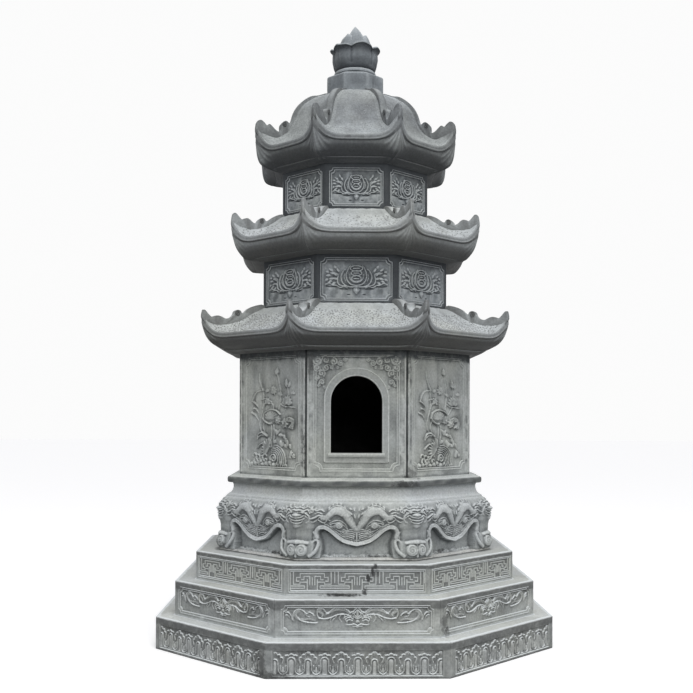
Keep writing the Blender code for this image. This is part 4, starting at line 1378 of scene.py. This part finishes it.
# %% Front wall
ARCH_HALF, ARCH_FOOT, ARCH_SPRING = 0.1625, 1.283, 1.6105
BAND_HALF, BAND_FOOT, BAND_SPRING, BAND_PROUD = 0.2015, 1.227, 1.6185, 0.010
SILL_HALF, SILL_FOOT, SILL_PROUD = 0.182, 1.260, 0.024
CLOUDS = [(-0.246, 1.868, 0.030), (-0.197, 1.874, 0.025), (-0.146, 1.862, 0.026), (-0.104, 1.850, 0.020),
          (-0.076, 1.876, 0.015), (-0.252, 1.822, 0.026), (-0.222, 1.790, 0.025), (-0.248, 1.760, 0.018),
          (-0.222, 1.732, 0.020), (-0.196, 1.824, 0.022), (-0.160, 1.826, 0.016), (-0.243, 1.712, 0.013),
          (-0.205, 1.700, 0.010), (-0.120, 1.826, 0.011)]


def carve_front_wall():
    board = Face(BODY_FACE * TAN, BODY_Z0, BODY_Z1, BODY_GRID)
    for k, (x, z, r) in enumerate(CLOUDS):
        for s in (-1, 1):
            hand = s if k % 3 else -s
            board.dome((-s * x, z), r * 0.9, r * 0.10, base=0.0015)
            board.line(spiral(-s * x, z, r * 0.92, 1.35, 40 * k if s > 0 else 180 - 40 * k, hand), r * 0.21, 0.0085,
                       taper=(0.8, 1.0))
            tail = spiral(-s * x, z, r * 1.25, 0.4, 40 * k + 150 if s > 0 else 30 - 40 * k, hand, 14)
            board.line(tail, r * 0.15, 0.0060, taper=(0.5, 1.0))
    rim = rim_distance(board, PANEL_HALF, PANEL_Z0, PANEL_Z1, PANEL_NOTCH)
    depth = wall_ground(board, rim) - board.h
    wall = block("front wall", board, depth, BODY_FACE, BODY_INNER, FRONT_KEPT, wall_tone(board, rim))
    outline = arch_outline(ARCH_HALF, ARCH_FOOT, ARCH_SPRING)
    ends = [[(x, y, z) for x, z in outline] for y in (-1.0, -0.5)]
    count = len(outline)
    sides = [(i, (i + 1) % count, count + (i + 1) % count, count + i) for i in range(count)]
    hole = mesh_of("hole", ends[0] + ends[1], sides + [tuple(range(count)), tuple(range(count, 2 * count))])
    return cut_out(wall, hole)


def cut_out(mesh, tool):
    """A mesh with the shape of a tool cut out of it, exactly."""
    cutter = bpy.data.objects.new("cutter", tool)
    bpy.context.scene.collection.objects.link(cutter)
    made = shaped(mesh, "BOOLEAN", operation="DIFFERENCE", solver="EXACT", object=cutter)
    bpy.data.objects.remove(cutter, do_unlink=True)
    return made


def arch_band():
    """The flat band round the opening: an arch-shaped ring, closed across the bottom by a plain strip below the
    opening.
    """
    outer = arch_outline(BAND_HALF, BAND_FOOT, BAND_SPRING)
    inner = arch_outline(ARCH_HALF, ARCH_FOOT, ARCH_SPRING)
    front, back = -(BODY_FACE - PANEL_DEPTH) - BAND_PROUD, -BODY_FACE + 0.03
    points = [(x, y, z) for y in (front, back) for line in (outer, inner) for x, z in line]
    n = len(outer)
    faces = []
    for i in range(n):
        j = (i + 1) % n
        faces += [(i, j, n + j, n + i), (2 * n + j, 2 * n + i, 3 * n + i, 3 * n + j),
                  (j, i, 2 * n + i, 2 * n + j), (n + i, n + j, 3 * n + j, 3 * n + i)]
    return mesh_of("arch band", points, faces)


def bar(half, z0, z1, y0, y1):
    """A plain closed block across the front."""
    points = [(x, y, z) for z in (z0, z1) for y in (y0, y1) for x in (-half, half)]
    return mesh_of("bar", points, [(0, 1, 3, 2), (4, 6, 7, 5), (0, 4, 5, 1), (2, 3, 7, 6), (0, 2, 6, 4), (1, 5, 7, 3)])


proud = BODY_FACE - PANEL_DEPTH + BAND_PROUD
mesh = joined("front wall", [
    carve_front_wall(), toned(arch_band(), -0.55),
    toned(bar(SILL_HALF, SILL_FOOT, ARCH_FOOT - 0.002, -BODY_FACE - 0.014, -BODY_INNER - 0.03), -0.35),
    toned(bar(SILL_HALF - 0.004, ARCH_FOOT - 0.012, ARCH_FOOT + 0.003, -BODY_FACE - SILL_PROUD + 0.006,
              -BODY_INNER - 0.03), 0.45),
    beads([arch_outline(BAND_HALF + 0.001, BAND_FOOT + 0.004, BAND_SPRING)], proud - 0.001, 0.0048, BODY_STONE, 8,
          0.9),
    beads([arch_outline(ARCH_HALF + 0.004, ARCH_FOOT, ARCH_SPRING)], proud - 0.001, 0.0040, BODY_STONE, 8),
    beads([[(-BAND_HALF, BAND_FOOT + 0.002), (BAND_HALF, BAND_FOOT + 0.002)]], proud - 0.004, 0.0045, BODY_STONE, 8),
] + wall_beads())
place(mesh, "carved_front_wall", ["front_wall"], "body_stone", BODY_STONE)
print("front wall:", len(mesh.polygons), "faces")

# %% [markdown]
# ## Drums
# Both drums carry the same panel on all sides: a lotus whose petals stand in layers round a tall bud, clusters of
# small leaves beside it, dark clefts under the leaves and a small pendant, inside a double border.

# %% Drums
# Drum stone: the dark bands at each drum's top are painted shade under the roof above.
DRUM_STONE = limestone(
    "drum stone", (0.185, 0.205, 0.218), (0.46, 0.49, 0.51), (0.040, 0.046, 0.052), Drift=0.7, Dust=0.6, Shade=0.7,
    Streaks=0.7, Worn=0.75, Grain=0.7,
    bands=[(z - 0.045, z + 0.02, 0.022, 0.7) for z in (levels("drum_2")[1], levels("drum_3")[1])])
DRUM_GRID, DRUM_KEPT = 0.0034, 0.27


def draw_lotus(board, top, wide, tall):
    """The drum's lotus, drawn in units of `wide` across from the middle and `tall` down from the panel's top."""
    def at(*points):
        return np.array([(x * wide, top - y * tall) for x, y in points])

    stroke = pen(board.both, at, (1.0, 0.7))
    # Bud of three stacked ovals, petals in three layers, a ring at the foot
    for y, rx, ry in ((72, 42, 21), (108, 36, 19), (150, 33, 22)):
        board.line(at(*[(rx * math.cos(a), y + ry * math.sin(a)) for a in np.linspace(0, 2 * math.pi, 24)]), 0.0036,
                   0.0085)
        board.line(at((-rx * 0.5, y), (rx * 0.5, y)), 0.0034, 0.0070)
    stroke(20, 0.0046, 0.0100, (0, 204), (38, 194), (64, 160), (68, 112), (52, 68), (40, 52))
    stroke(22, 0.0048, 0.0100, (0, 214), (56, 212), (94, 182), (104, 134), (92, 96), (76, 78))
    stroke(18, 0.0044, 0.0085, (56, 212), (116, 198), (130, 160), (124, 124), (136, 108))
    stroke(14, 0.0040, 0.0080, (0, 180), (26, 172), (44, 148), (48, 118))
    stroke(10, 0.0036, 0.0070, (74, 168), (82, 140), (78, 112))
    # Leaf clusters
    for x, y, lean, size in ((128, 158, 62, 46), (132, 132, 34, 50), (146, 118, 60, 44), (150, 150, 88, 44),
                             (118, 100, 22, 40), (160, 96, 42, 40), (178, 128, 76, 36), (166, 168, 104, 38),
                             (144, 180, 118, 36), (188, 104, 58, 26), (190, 156, 96, 28), (142, 74, 8, 30)):
        board.leaves(at((x, y))[0], lean, size * tall, 8.5 * wide, 0.0085, ribs=1, bend=0.2)
    stroke(24, 0.0042, 0.0080, (210, 196), (186, 186), (160, 200), (134, 204), (112, 218), (84, 212), (60, 222))
    # Clefts under the leaves, pendant and two small dashes
    for cleft in (((206, 210), (172, 214), (136, 212)), ((112, 228), (86, 232), (60, 230)), ((62, 272), (46, 272))):
        for s in (-1, 1):
            board.groove(smooth(at(*[(s * x, y) for x, y in cleft]), 8), 0.0050, 0.0060)
    board.leaf(at((0, 216))[0], 180, 54 * tall, 24 * wide, 0.0100, ribs=2, shape=0.65)
    board.leaf(at((0, 226))[0], 180, 30 * tall, 11 * wide, 0.0060, ribs=0, base=0.007)


def carve_drum(name, face, half, low, high, notch, wide, tall):
    z0, z1 = levels(name)
    board = Face(face * TAN, z0, z1, DRUM_GRID)
    draw_lotus(board, high, wide, tall)
    rim = rim_distance(board, half, low, high, notch)
    gap = board.half - np.abs(board.x)
    depth = 0.007 * ease(rim / 0.005) - board.h * ease((rim - 0.008) / 0.005)
    depth += (0.0006 + 0.0005 * ripple(board.x, board.z, 0.012, 41)) * (rim > 0.003)
    depth += 0.0018 * np.clip(1 - gap / 0.006, 0, 1) ** 2
    tone = board.tone(5, 330.0) - 1.2 * (rim <= 0) + (0.22 + 0.15 * ripple(board.x, board.z, 0.016, 42)) * (rim > 0.004)
    # The top of each drum, under the roof above, gets painted shade; the foot is darker too.
    tone += 0.35 * ripple(board.x * 2, board.z, 0.09, 43) - 1.5 * ease((board.z - z1 + 0.10) / 0.09)
    tone -= 0.8 * ease((z0 + 0.025 - board.z) / 0.02)
    body = ring(name, board, depth, np.full(len(board.zs), face), DRUM_KEPT, tone)
    lines = [border(half + 0.008, low - 0.008, high + 0.008, notch, face - 0.001, 0.0036, DRUM_STONE, 0.2),
             border(half - 0.005, low + 0.005, high - 0.005, notch, face - 0.003, 0.0040, DRUM_STONE, 0.6)]
    lines = [turned_copy(line, "line", side) for line in lines for side in range(SIDES)]
    return joined(name, [body] + lines)


for name, values in (("drum_2", (0.624, 0.222, 2.276, 2.534, 0.026, 0.00096, 0.00084)),
                     ("drum_3", (0.497, 0.168, 2.914, 3.147, 0.022, 0.00075, 0.00075))):
    mesh = carve_drum(name, *values)
    place(mesh, "carved_" + name, [name], "drum_stone", DRUM_STONE)
    print(name, len(mesh.polygons), "faces")

# %% [markdown]
# ## Roofs with raised corners
# Each roof is one closed body whose rings run level along the middle of the eave and sweep up into every corner, so
# the eave's band itself becomes the corner's raised tip. Soft folds run below the band and follow its sweep. Over every
# corner lies a broad hip band that ends in a rolled scroll and a pointed tip. Rings are (face apothem, face height,
# corner radius, corner height), lowest first. Marks are (how many a square metre, size, tone).

# %% Roof bodies
ROOFS = {
    "roof_1": dict(
        rings=[(0.820, 1.9363, 0.888, 1.9363), (0.843, 1.946, 0.905, 1.946), (0.862, 1.948, 0.930, 1.949),
               (0.880, 1.965, 0.985, 1.976), (0.925, 1.982, 1.042, 2.006), (0.962, 2.006, 1.080, 2.052),
               (0.978, 2.029, 1.102, 2.112), (0.992, 2.031, 1.109, 2.126), (0.992, 2.065, 1.106, 2.208),
               (0.955, 2.072, 1.050, 2.176), (0.850, 2.115, 0.945, 2.164), (0.770, 2.158, 0.850, 2.188),
               (0.700, 2.205, 0.780, 2.238), (0.648, 2.2507, 0.702, 2.2507)],
        hip=[(0.6764, 2.170), (0.6764, 2.272), (0.772, 2.255), (0.829, 2.211), (0.846, 2.228), (0.865, 2.233),
             (0.884, 2.224), (0.893, 2.201), (0.920, 2.178), (0.950, 2.171), (0.975, 2.182), (0.999, 2.189),
             (1.025, 2.186), (1.048, 2.180), (1.068, 2.200), (1.086, 2.221), (1.098, 2.225), (1.107, 2.216),
             (1.108, 2.160), (1.040, 2.090), (0.940, 2.080), (0.840, 2.080)],
        width=0.060, scroll=(0.866, 2.208, 0.024), sweep=8.0, folds=0.45,
        marks=(4200.0, 0.0078, -1.5)),
    "roof_2": dict(
        rings=[(0.640, 2.5650, 0.693, 2.5650), (0.660, 2.570, 0.710, 2.570), (0.700, 2.575, 0.755, 2.571),
               (0.730, 2.588, 0.808, 2.580), (0.765, 2.612, 0.850, 2.618), (0.790, 2.645, 0.878, 2.664),
               (0.800, 2.673, 0.899, 2.735), (0.812, 2.675, 0.905, 2.756), (0.812, 2.710, 0.906, 2.856),
               (0.780, 2.720, 0.850, 2.834), (0.690, 2.757, 0.758, 2.812), (0.620, 2.795, 0.688, 2.822),
               (0.560, 2.838, 0.622, 2.862), (0.520, 2.8850, 0.563, 2.8850)],
        hip=[(0.5390, 2.820), (0.5390, 2.898), (0.601, 2.885), (0.661, 2.846), (0.680, 2.861), (0.699, 2.864),
             (0.720, 2.850), (0.737, 2.825), (0.759, 2.829), (0.780, 2.846), (0.799, 2.855), (0.822, 2.850),
             (0.841, 2.845), (0.860, 2.866), (0.876, 2.884), (0.890, 2.884), (0.903, 2.862), (0.905, 2.790),
             (0.850, 2.730), (0.760, 2.700), (0.680, 2.700)],
        width=0.054, scroll=(0.697, 2.841, 0.022), sweep=6.5, folds=0.35,
        marks=(1500.0, 0.0074, -1.5)),
    "roof_3": dict(
        rings=[(0.512, 3.1843, 0.555, 3.1843), (0.530, 3.190, 0.573, 3.189), (0.548, 3.205, 0.605, 3.195),
               (0.575, 3.225, 0.662, 3.210), (0.605, 3.247, 0.706, 3.236), (0.630, 3.277, 0.728, 3.290),
               (0.640, 3.300, 0.737, 3.378), (0.652, 3.302, 0.740, 3.400), (0.652, 3.338, 0.738, 3.505),
               (0.622, 3.348, 0.672, 3.486), (0.565, 3.374, 0.614, 3.458), (0.520, 3.410, 0.562, 3.470),
               (0.478, 3.465, 0.512, 3.500), (0.442, 3.545, 0.474, 3.560), (0.410, 3.620, 0.448, 3.625),
               (0.362, 3.682, 0.400, 3.690), (0.290, 3.736, 0.318, 3.742), (0.212, 3.7707, 0.230, 3.7707)],
        hip=[(0.2145, 3.735), (0.2145, 3.777), (0.289, 3.752), (0.335, 3.742), (0.382, 3.714), (0.430, 3.668),
             (0.462, 3.612), (0.480, 3.555), (0.495, 3.532), (0.520, 3.546), (0.540, 3.540), (0.560, 3.515),
             (0.562, 3.480), (0.576, 3.466), (0.600, 3.476), (0.626, 3.500), (0.644, 3.510), (0.664, 3.500),
             (0.682, 3.518), (0.704, 3.534), (0.724, 3.524), (0.738, 3.495), (0.738, 3.440), (0.690, 3.390),
             (0.590, 3.380), (0.500, 3.400), (0.420, 3.560), (0.340, 3.660)],
        width=0.048, scroll=(0.535, 3.518, 0.021), sweep=5.2, folds=0.6,
        marks=(3600.0, 0.0072, -0.9)),
}
LIP = 7
HIP_NOSE = 0.90
HIP_SECTIONS = ((-1.0, 0.006), (-0.92, 0.0012), (-0.5, 0.0), (0.0, 0.0), (0.5, 0.0), (0.92, 0.0012), (1.0, 0.006))
# Roof stone: where the lowest roof lies over the hollow body it is painted black as shade.
ROOF_STONE = limestone("roof stone", (0.30, 0.32, 0.325), (0.54, 0.57, 0.58), (0.060, 0.060, 0.058),
                       Drift=0.5, Dust=0.65, Shade=0.9, Streaks=0.35, Worn=0.6, Grain=0.7, inner_shade=(0.74, 1.95))
TOP_STONE = limestone("top roof stone", (0.19, 0.205, 0.215), (0.42, 0.45, 0.465), (0.046, 0.049, 0.053),
                      Drift=0.6, Dust=0.45, Shade=0.95, Streaks=0.5, Worn=0.6, Grain=0.8)


def eave_columns():
    """Places along an eave from -1 to 1, close together near the corners; the last one starts the next side."""
    even = np.linspace(0, 1, 34)
    right = 1 - (1 - even) ** 1.8
    return np.concatenate([-right[:0:-1], right[:-1]])


def roof_rows(rings):
    """Denser rings: many under the eave, four between each pair above it, on smooth curves; crisp at the band."""
    rings = np.array(rings)
    under = smooth(rings[2:LIP], 33)
    over = smooth(rings[LIP + 1:], 4 * (len(rings) - LIP - 1) - 3)
    face = np.array([rings[LIP] * (1 - f) + rings[LIP + 1] * f for f in (0.0, 0.16, 0.30, 0.5, 0.84)])
    face[0] -= [0.004, 0, 0.004, 0]
    face[2:4, 0] -= 0.003
    rows = np.vstack([rings[:2], under, face, over])
    return rows, 2, 2 + len(under), 2 + len(under) + len(face)


def roof_body(name, spec, seed):
    rows, start, eave, top = roof_rows(spec["rings"])
    t = eave_columns()
    sweep = spec["sweep"]
    lift = np.abs(t) ** sweep
    face, z_face, corner, z_corner = (rows[:, k][:, None] for k in range(4))
    a = face + (corner * COS - face) * lift
    z = z_face + (z_corner - z_face) * lift
    k = np.arange(len(rows))[:, None]
    tone = np.zeros_like(a)
    # Folds fan out from the corner below the band, between the band and the corner's own edge
    under = (k >= start) & (k < eave)
    step = np.clip((k - start) / (eave - 1 - start), 0, 1)
    rise = z_corner[eave] - z_face[eave]
    slope = sweep * rise * np.abs(t) ** (sweep - 1) / (face[eave] * TAN)
    below = np.maximum(z_face[eave] + rise * lift - z, 0) / np.sqrt(1 + slope ** 2)
    aside = (1 - np.abs(t)) * face[eave] * TAN
    turned_by = np.arctan2(below, aside + 1e-5) / (math.pi / 2)
    away = np.hypot(below, aside)
    wave = np.cos(2 * np.pi * 3.5 * turned_by)
    open_up = spec["folds"] * ease((away - 0.012) / 0.02) * ease((0.13 - away) / 0.07) * ease(below / 0.006)
    a = a + under * 0.0024 * open_up * wave
    # Light and dark along the folds and a darker underside are painted shade and highlight.
    tone += under * (0.9 * wave * open_up - 0.25)
    # A small crease at the soffit's foot, darkened with painted shade.
    foot = np.exp(-((step - 0.16) / 0.035) ** 2) * under
    a = a - 0.006 * foot
    tone -= 1.2 * foot
    # The lowest rings next to the wall get painted shade, the rings just above them are a little paler.
    tone += 0.25 * (under & (step < 0.10)) - 0.9 * ((k > 0) & (k < start))
    # A dark line under the band's lower edge is painted shade; the band's face is darker, and its top edge gets a
    # painted highlight.
    tone -= 1.1 * ((k >= eave - 1) & (k <= eave))
    tone += ((k > eave) & (k < top - 1)) * -0.65 + 0.8 * (k == top - 1)
    above = k >= top
    # Fields between the hip bands lie a little lower and are pitted all over
    from_corner = (1 - np.abs(t)) * a * TAN
    field = above & (k < len(rows) - 3) * (k > top + 1)
    lower = field * ease((from_corner - spec["width"] * 0.95) / 0.006)
    z = z + above * (0.0014 * ripple(a * TAN * t, a, 0.05, seed) - 0.002) - 0.0035 * lower
    tone += above * (0.30 * ripple(a * TAN * t, a, 0.11, seed + 9)) - 0.10 * lower + 0.35 * field * (1 - lower)
    points = np.stack([a * TAN * t, -a, z], axis=-1)
    whole = all_round(points)
    body = mesh_of(name, whole.reshape(-1, 3), tube_faces(*whole.shape[:2]), None, sharp=32, tone=np.tile(tone, SIDES))
    fields = [turn(points[top + 3:-4, 5:-4], side) for side in range(SIDES)]
    return body, fields


# %% Hip bands with scrolls and raised tips
def hip_plate(name, spec):
    """The band, scroll and tip over one corner, in the plane of that corner: (across, out, up).

    Seven sections side by side make it round on top, and it narrows towards the tip."""
    outline = smooth(np.array(spec["hip"]), 3 * len(spec["hip"]))
    reach, level = outline[:, 0].max(), outline[:, 1].min() + 0.02
    half, n = spec["width"] / 2, len(outline)
    points = []
    for offset, sunk in HIP_SECTIONS:
        r, z = outline.T
        nose = ease((r - reach * HIP_NOSE) / (reach * 0.07))
        tip = nose * ease((z - level - 0.05) / 0.06)
        wide = offset * half * (1 - 0.30 * nose - 0.28 * tip)
        back = TAN * np.abs(wide) / (reach * (1 - HIP_NOSE))
        r = r - back * np.maximum(0, r - reach * HIP_NOSE)
        points += list(zip(wide, r, z - sunk * (z > level)))
    last = len(HIP_SECTIONS) - 1
    faces = [(s * n + i, s * n + (i + 1) % n, (s + 1) * n + (i + 1) % n, (s + 1) * n + i)
             for s in range(last) for i in range(n)]
    faces += [tuple(range(n))[::-1], tuple(range(last * n, (last + 1) * n))]
    plate = mesh_of(name, points, faces, sharp=50, tone=np.full(len(points), -0.10))
    r, z, size = spec["scroll"]
    curls = [[(side * (half + 0.001), r + p, z + q) for p, q in spiral(0, 0, size * 0.8, 1.6, 120, -1, 26)]
             for side in (-1, 1)]
    lines = run_tree(BEAD, wire_mesh("curls", curls), {"Radius": 0.0042, "Corners": 6, "Stone": ROOF_STONE})
    return joined(name, [plate, toned(lines, -0.9)])


def to_corner(mesh, k):
    """A mesh drawn as (across, out, up), set on corner number k."""
    angle = -math.pi / 2 + HALF + 2 * HALF * k
    return moved_copy(mesh, "hip", lambda points: spin(points[:, [1, 0, 2]], angle))


# %% Chisel marks scattered over the roof fields
def chisel_tree():
    group, given, result, w = geometry_tree("Chisel marks", [
        ("Density", "Float", 900.0), ("Size", "Float", 0.006), ("Seed", "Int", 1), ("Stone", "Material", None)])
    spots = w.node("GeometryNodeDistributePointsOnFaces", {
        "Mesh": given["Geometry"], "Distance Min": w.times(given["Size"], 1.6), "Density Max": given["Density"],
        "Seed": given["Seed"]}, distribute_method="POISSON").outputs
    grain = w.node("GeometryNodeMeshCone", {"Vertices": 5, "Radius Top": 0.0, "Radius Bottom": given["Size"],
                                            "Depth": given["Size"]})
    sunk = w.node("GeometryNodeTransform", {"Geometry": grain.outputs["Mesh"], "Translation": (0, 0, -0.001)})
    size = w.node("FunctionNodeRandomValue", {0: (0.6, 0.5, 0.25), 1: (1.3, 1.1, 0.45), "Seed": given["Seed"]},
                  data_type="FLOAT_VECTOR")
    spread = w.node("GeometryNodeInstanceOnPoints", {
        "Points": spots["Points"], "Instance": sunk.outputs["Geometry"], "Rotation": spots["Rotation"],
        "Scale": size.outputs[0]})
    finish_tree(w, spread.outputs["Instances"], given["Stone"], result)
    return group


CHISEL = chisel_tree()
for k, (name, spec) in enumerate(ROOFS.items()):
    stone = TOP_STONE if name == "roof_3" else ROOF_STONE
    body, fields = roof_body(name, spec, 51 + k)
    density, size, tone = spec["marks"]
    marks = []
    for side, points in enumerate(fields):
        field = bpy.data.meshes.new("field")
        field.from_pydata([tuple(p) for p in points.reshape(-1, 3)], [], grid_faces(*points.shape[:2]))
        values = {"Density": density, "Size": size, "Seed": 7 * side + k, "Stone": stone}
        marks.append(toned(run_tree(CHISEL, field, values), tone))
    plate = hip_plate(name, spec)
    hips = [to_corner(plate, corner) for corner in range(SIDES)]
    mesh = joined(name, [body] + hips + marks, 34)
    place(mesh, "carved_" + name, [name], "roof_stone", stone)
    print(name, len(mesh.polygons), "faces")

# %% [markdown]
# ## The lotus finial
# The neck is eight-sided. On it sits a bowl of six petals with curled lips; two of them meet at the front. A bud of
# pointed petals rises out of it. Some petal tips have broken off.

# %% Neck, bowl and bud
FINIAL_STONE = limestone("finial stone", (0.150, 0.168, 0.182), (0.38, 0.41, 0.43), (0.028, 0.033, 0.040),
                         Drift=0.6, Dust=0.5, Shade=0.8, Streaks=0.5, Worn=0.6, Grain=0.7)
NECK = [(0.206, 3.7710), (0.2115, 3.7735), (0.213, 3.779), (0.213, 3.830), (0.213, 3.884), (0.2115, 3.890),
        (0.205, 3.896), (0.190, 3.903), (0.170, 3.911), (0.150, 3.918), (0.140, 3.9210)]
COLLAR = [(0.124, 3.9205), (0.136, 3.9215), (0.1445, 3.9260), (0.1475, 3.9330), (0.1460, 3.9410), (0.1400, 3.9470),
          (0.126, 3.9497)]
BOWL = [(0.130, 3.9500, 0.000, 0.000), (0.142, 3.964, 0.002, 0.000), (0.150, 3.990, 0.005, 0.000),
        (0.156, 4.025, 0.008, 0.000), (0.156, 4.055, 0.010, 0.000), (0.153, 4.074, 0.013, 0.006),
        (0.160, 4.084, 0.018, 0.018), (0.169, 4.088, 0.020, 0.024), (0.161, 4.096, 0.020, 0.026),
        (0.146, 4.084, 0.014, 0.014), (0.130, 4.060, 0.008, 0.000), (0.116, 4.0400, 0.000, 0.000)]
BUD = [(0.098, 4.0403, 0.000, 0.0), (0.112, 4.070, 0.003, 0.0), (0.118, 4.110, 0.006, 0.0),
       (0.112, 4.150, 0.008, 0.0), (0.100, 4.185, 0.010, 0.0), (0.080, 4.208, 0.009, 0.0),
       (0.052, 4.240, 0.004, 0.0), (0.010, 4.2790, 0.000, 0.0)]
PETALS, CREASE = 6, 0.002
LEAN = math.radians(-11)


def lobed(name, rings, around, rows, seed, paint=None, chips=0.0):
    """A round body whose rings swell and lift at each petal; two petals meet a little left of the front.

    `paint` gives the tone at each height as (z, tone) pairs; `chips` breaks the petal tips."""
    line = smooth(rings, rows)
    angle = -math.pi / 2 + 2 * math.pi * np.arange(around) / around
    phase = PETALS * (angle + math.pi / 2 - LEAN) / 2
    swell = np.abs(np.sin(phase)) ** 0.7
    radius, z, lobe, lift = (line[:, k][:, None] for k in range(4))
    r = radius + lobe * (swell - 0.5) - CREASE * (swell < 0.25) * (lobe > 0.004)
    broken = np.clip(ripple(angle[None, :] * 0.1 + 0 * z, 0 * z + 0.3, 0.10, seed + 5), 0, 1)
    height = z + lift * swell * (1 - chips * broken)
    r = r + 0.0008 * ripple(angle[None, :] * 0.15 + 0 * z, height, 0.06, seed)
    points = np.stack([r * np.cos(angle), r * np.sin(angle), height], axis=-1)
    points[[0, -1], :, 2] = line[[0, -1], 1][:, None]
    # The creases between the petals get painted shade.
    tone = 0 * r + (np.interp(z, *np.transpose(paint)) if paint else 0) - 0.6 * (swell < 0.18) * (lobe > 0.004)
    return mesh_of(name, points.reshape(-1, 3), tube_faces(*points.shape[:2]), None, 45, tone)


def petal(lean, foot, size, tip, out, pointed=False):
    """One thick petal of the bud, standing at an angle (radians from the front), with a ridge down its back."""
    n = 9
    t, q = np.linspace(0, 1, n)[:, None], np.linspace(-1, 1, n)[None, :]
    half = size * (1 - t ** 1.6 if pointed else np.sqrt(np.clip(1 - t ** 3, 0.0, 1))) + 0.003
    push = out * (1 - (0.95 if pointed else 0.35) * t ** 2.6) + 0.004 * (1 - q ** 2)
    across, up = half * q, foot + (tip - foot) * t + 0 * q
    outer = np.stack([across, -(push - 0.5 * across ** 2 / size), up], axis=-1)
    inner = outer + [0, 0.038 if pointed else 0.014, 0]
    points = np.concatenate([outer.reshape(-1, 3), inner.reshape(-1, 3)])
    k = np.arange(n * n).reshape(n, n)
    faces = sheet_faces(k) + [face[::-1] for face in sheet_faces(k + n * n)]
    edge = np.concatenate([k[0], k[1:, -1], k[-1, -2::-1], k[-2:0:-1, 0]]).tolist()
    faces += [[a, b, b + n * n, a + n * n] for a, b in zip(edge, edge[1:] + edge[:1])]
    return mesh_of("petal", spin(points, lean), faces, None, 45, np.full(len(points), 0.1))


neck = plain_ring("finial neck", NECK, 0.014, 0.0006, 61)
angle = np.linspace(0, 2 * math.pi, 96, endpoint=False)
collar = np.array([[(r * math.cos(a), r * math.sin(a), z) for a in angle] for r, z in COLLAR])
collar = mesh_of("collar", collar.reshape(-1, 3), tube_faces(*collar.shape[:2]), tone=np.full(collar[..., 0].size, 0.1))
place(joined("finial neck", [neck, collar]), "carved_neck", ["finial_neck"], "finial_stone", FINIAL_STONE)
# The bowl's underside and the hollows under its curled lips are painted dark: painted shade; the lips' tops are paler.
mesh = lobed("lotus bowl", BOWL, 144, 56, 62, chips=0.5,
             paint=[(3.95, -1.2), (3.99, -0.9), (4.03, -0.25), (4.05, -0.5), (4.066, -1.3), (4.082, -1.3),
                    (4.088, 0.3)])
place(mesh, "carved_bowl", ["lotus_bowl"], "finial_stone", FINIAL_STONE)
parts = [lobed("bud core", [(r * 0.78, z if z < 4.15 else z - 0.030, a, b) for r, z, a, b in BUD], 96, 40, 63)]
for k in range(PETALS):
    broken = (0.050, 0.006, 0.030, 0.024, 0.010, 0.012)[k]
    parts.append(petal(LEAN + (k + 0.5) * 2 * math.pi / PETALS, 4.050, 0.060, 4.222 - broken, 0.118))
parts.append(petal(math.radians(4), 4.060, 0.084, 4.279, 0.110, pointed=True))
place(joined("lotus bud", parts), "carved_bud", ["lotus_bud"], "finial_stone", FINIAL_STONE)
print("finial placed")

# %% [markdown]
# ## Camera, light and floor
# The photo was taken on a dull day, so the light is a broad pale sky with a soft light from above the front. The
# sky's lower half is dark for everything but the camera, which keeps the undersides of the eaves as dark as they are
# on a real building.

# %% Camera
def camera():
    data = bpy.data.cameras.new("camera")
    data.lens, data.sensor_width = 51.18, 36.0
    data.shift_x, data.shift_y = -0.0107, 0.1033
    eye = bpy.data.objects.new("camera", data)
    bpy.context.scene.collection.objects.link(eye)
    eye.location = (-0.149, -6.988, 1.507)
    eye.rotation_euler = (math.radians(90), math.radians(-0.18), math.radians(-1.22))
    bpy.context.scene.camera = eye


def soft_light(name, at, size, power, aim=(0, 0, 1.8)):
    data = bpy.data.lights.new(name, "AREA")
    data.shape, data.size, data.energy = "DISK", size, power
    lamp = bpy.data.objects.new(name, data)
    bpy.context.scene.collection.objects.link(lamp)
    lamp.location = at
    lamp.rotation_euler = (Vector(aim) - Vector(at)).to_track_quat("-Z", "Y").to_euler()


def sky(low, high, backdrop):
    """A world that lights from above and looks plain to the camera."""
    world = bpy.data.worlds.new("sky")
    bpy.context.scene.world = world
    world.use_nodes = True
    w = Wires(world.node_tree)
    height = w.split(w.node("ShaderNodeTexCoord").outputs["Generated"])["Z"]
    light = w.blend(w.between(height, -0.12, 0.35), (low, low, low, 1), (high, high, high * 1.02, 1))
    seen = w.blend(w.node("ShaderNodeLightPath").outputs["Is Camera Ray"], light, (backdrop, backdrop, backdrop, 1))
    w.link(seen, world.node_tree.nodes["Background"].inputs["Color"])


camera()
soft_light("high soft light", (0.8, -3.6, 8.5), 4.5, 200)
soft_light("broad front light", (1.2, -9.5, 5.2), 4.5, 292)
sky(0.10, 0.80, 0.97)
print("camera, light and sky ready")


# %% Floor
def pale_floor():
    mesh = bpy.data.meshes.new("floor")
    work = bmesh.new()
    bmesh.ops.create_grid(work, x_segments=1, y_segments=1, size=60)
    work.to_mesh(mesh)
    work.free()
    floor = bpy.data.objects.new("floor", mesh)
    bpy.context.scene.collection.objects.link(floor)
    pale = bpy.data.materials.new("floor")
    pale.use_nodes = True
    shader = pale.node_tree.nodes["Principled BSDF"]
    shader.inputs["Base Color"].default_value = (0.90, 0.90, 0.90, 1)
    shader.inputs["Roughness"].default_value = 0.9
    shader.inputs["Emission Color"].default_value = (1, 1, 1, 1)
    shader.inputs["Emission Strength"].default_value = 0.25
    mesh.materials.append(pale)
    floor.visible_diffuse = False


pale_floor()
bpy.context.scene.view_settings.view_transform = "Standard"
print("floor ready")

# %% Size and finish
print("pieces:", len(PIECES))
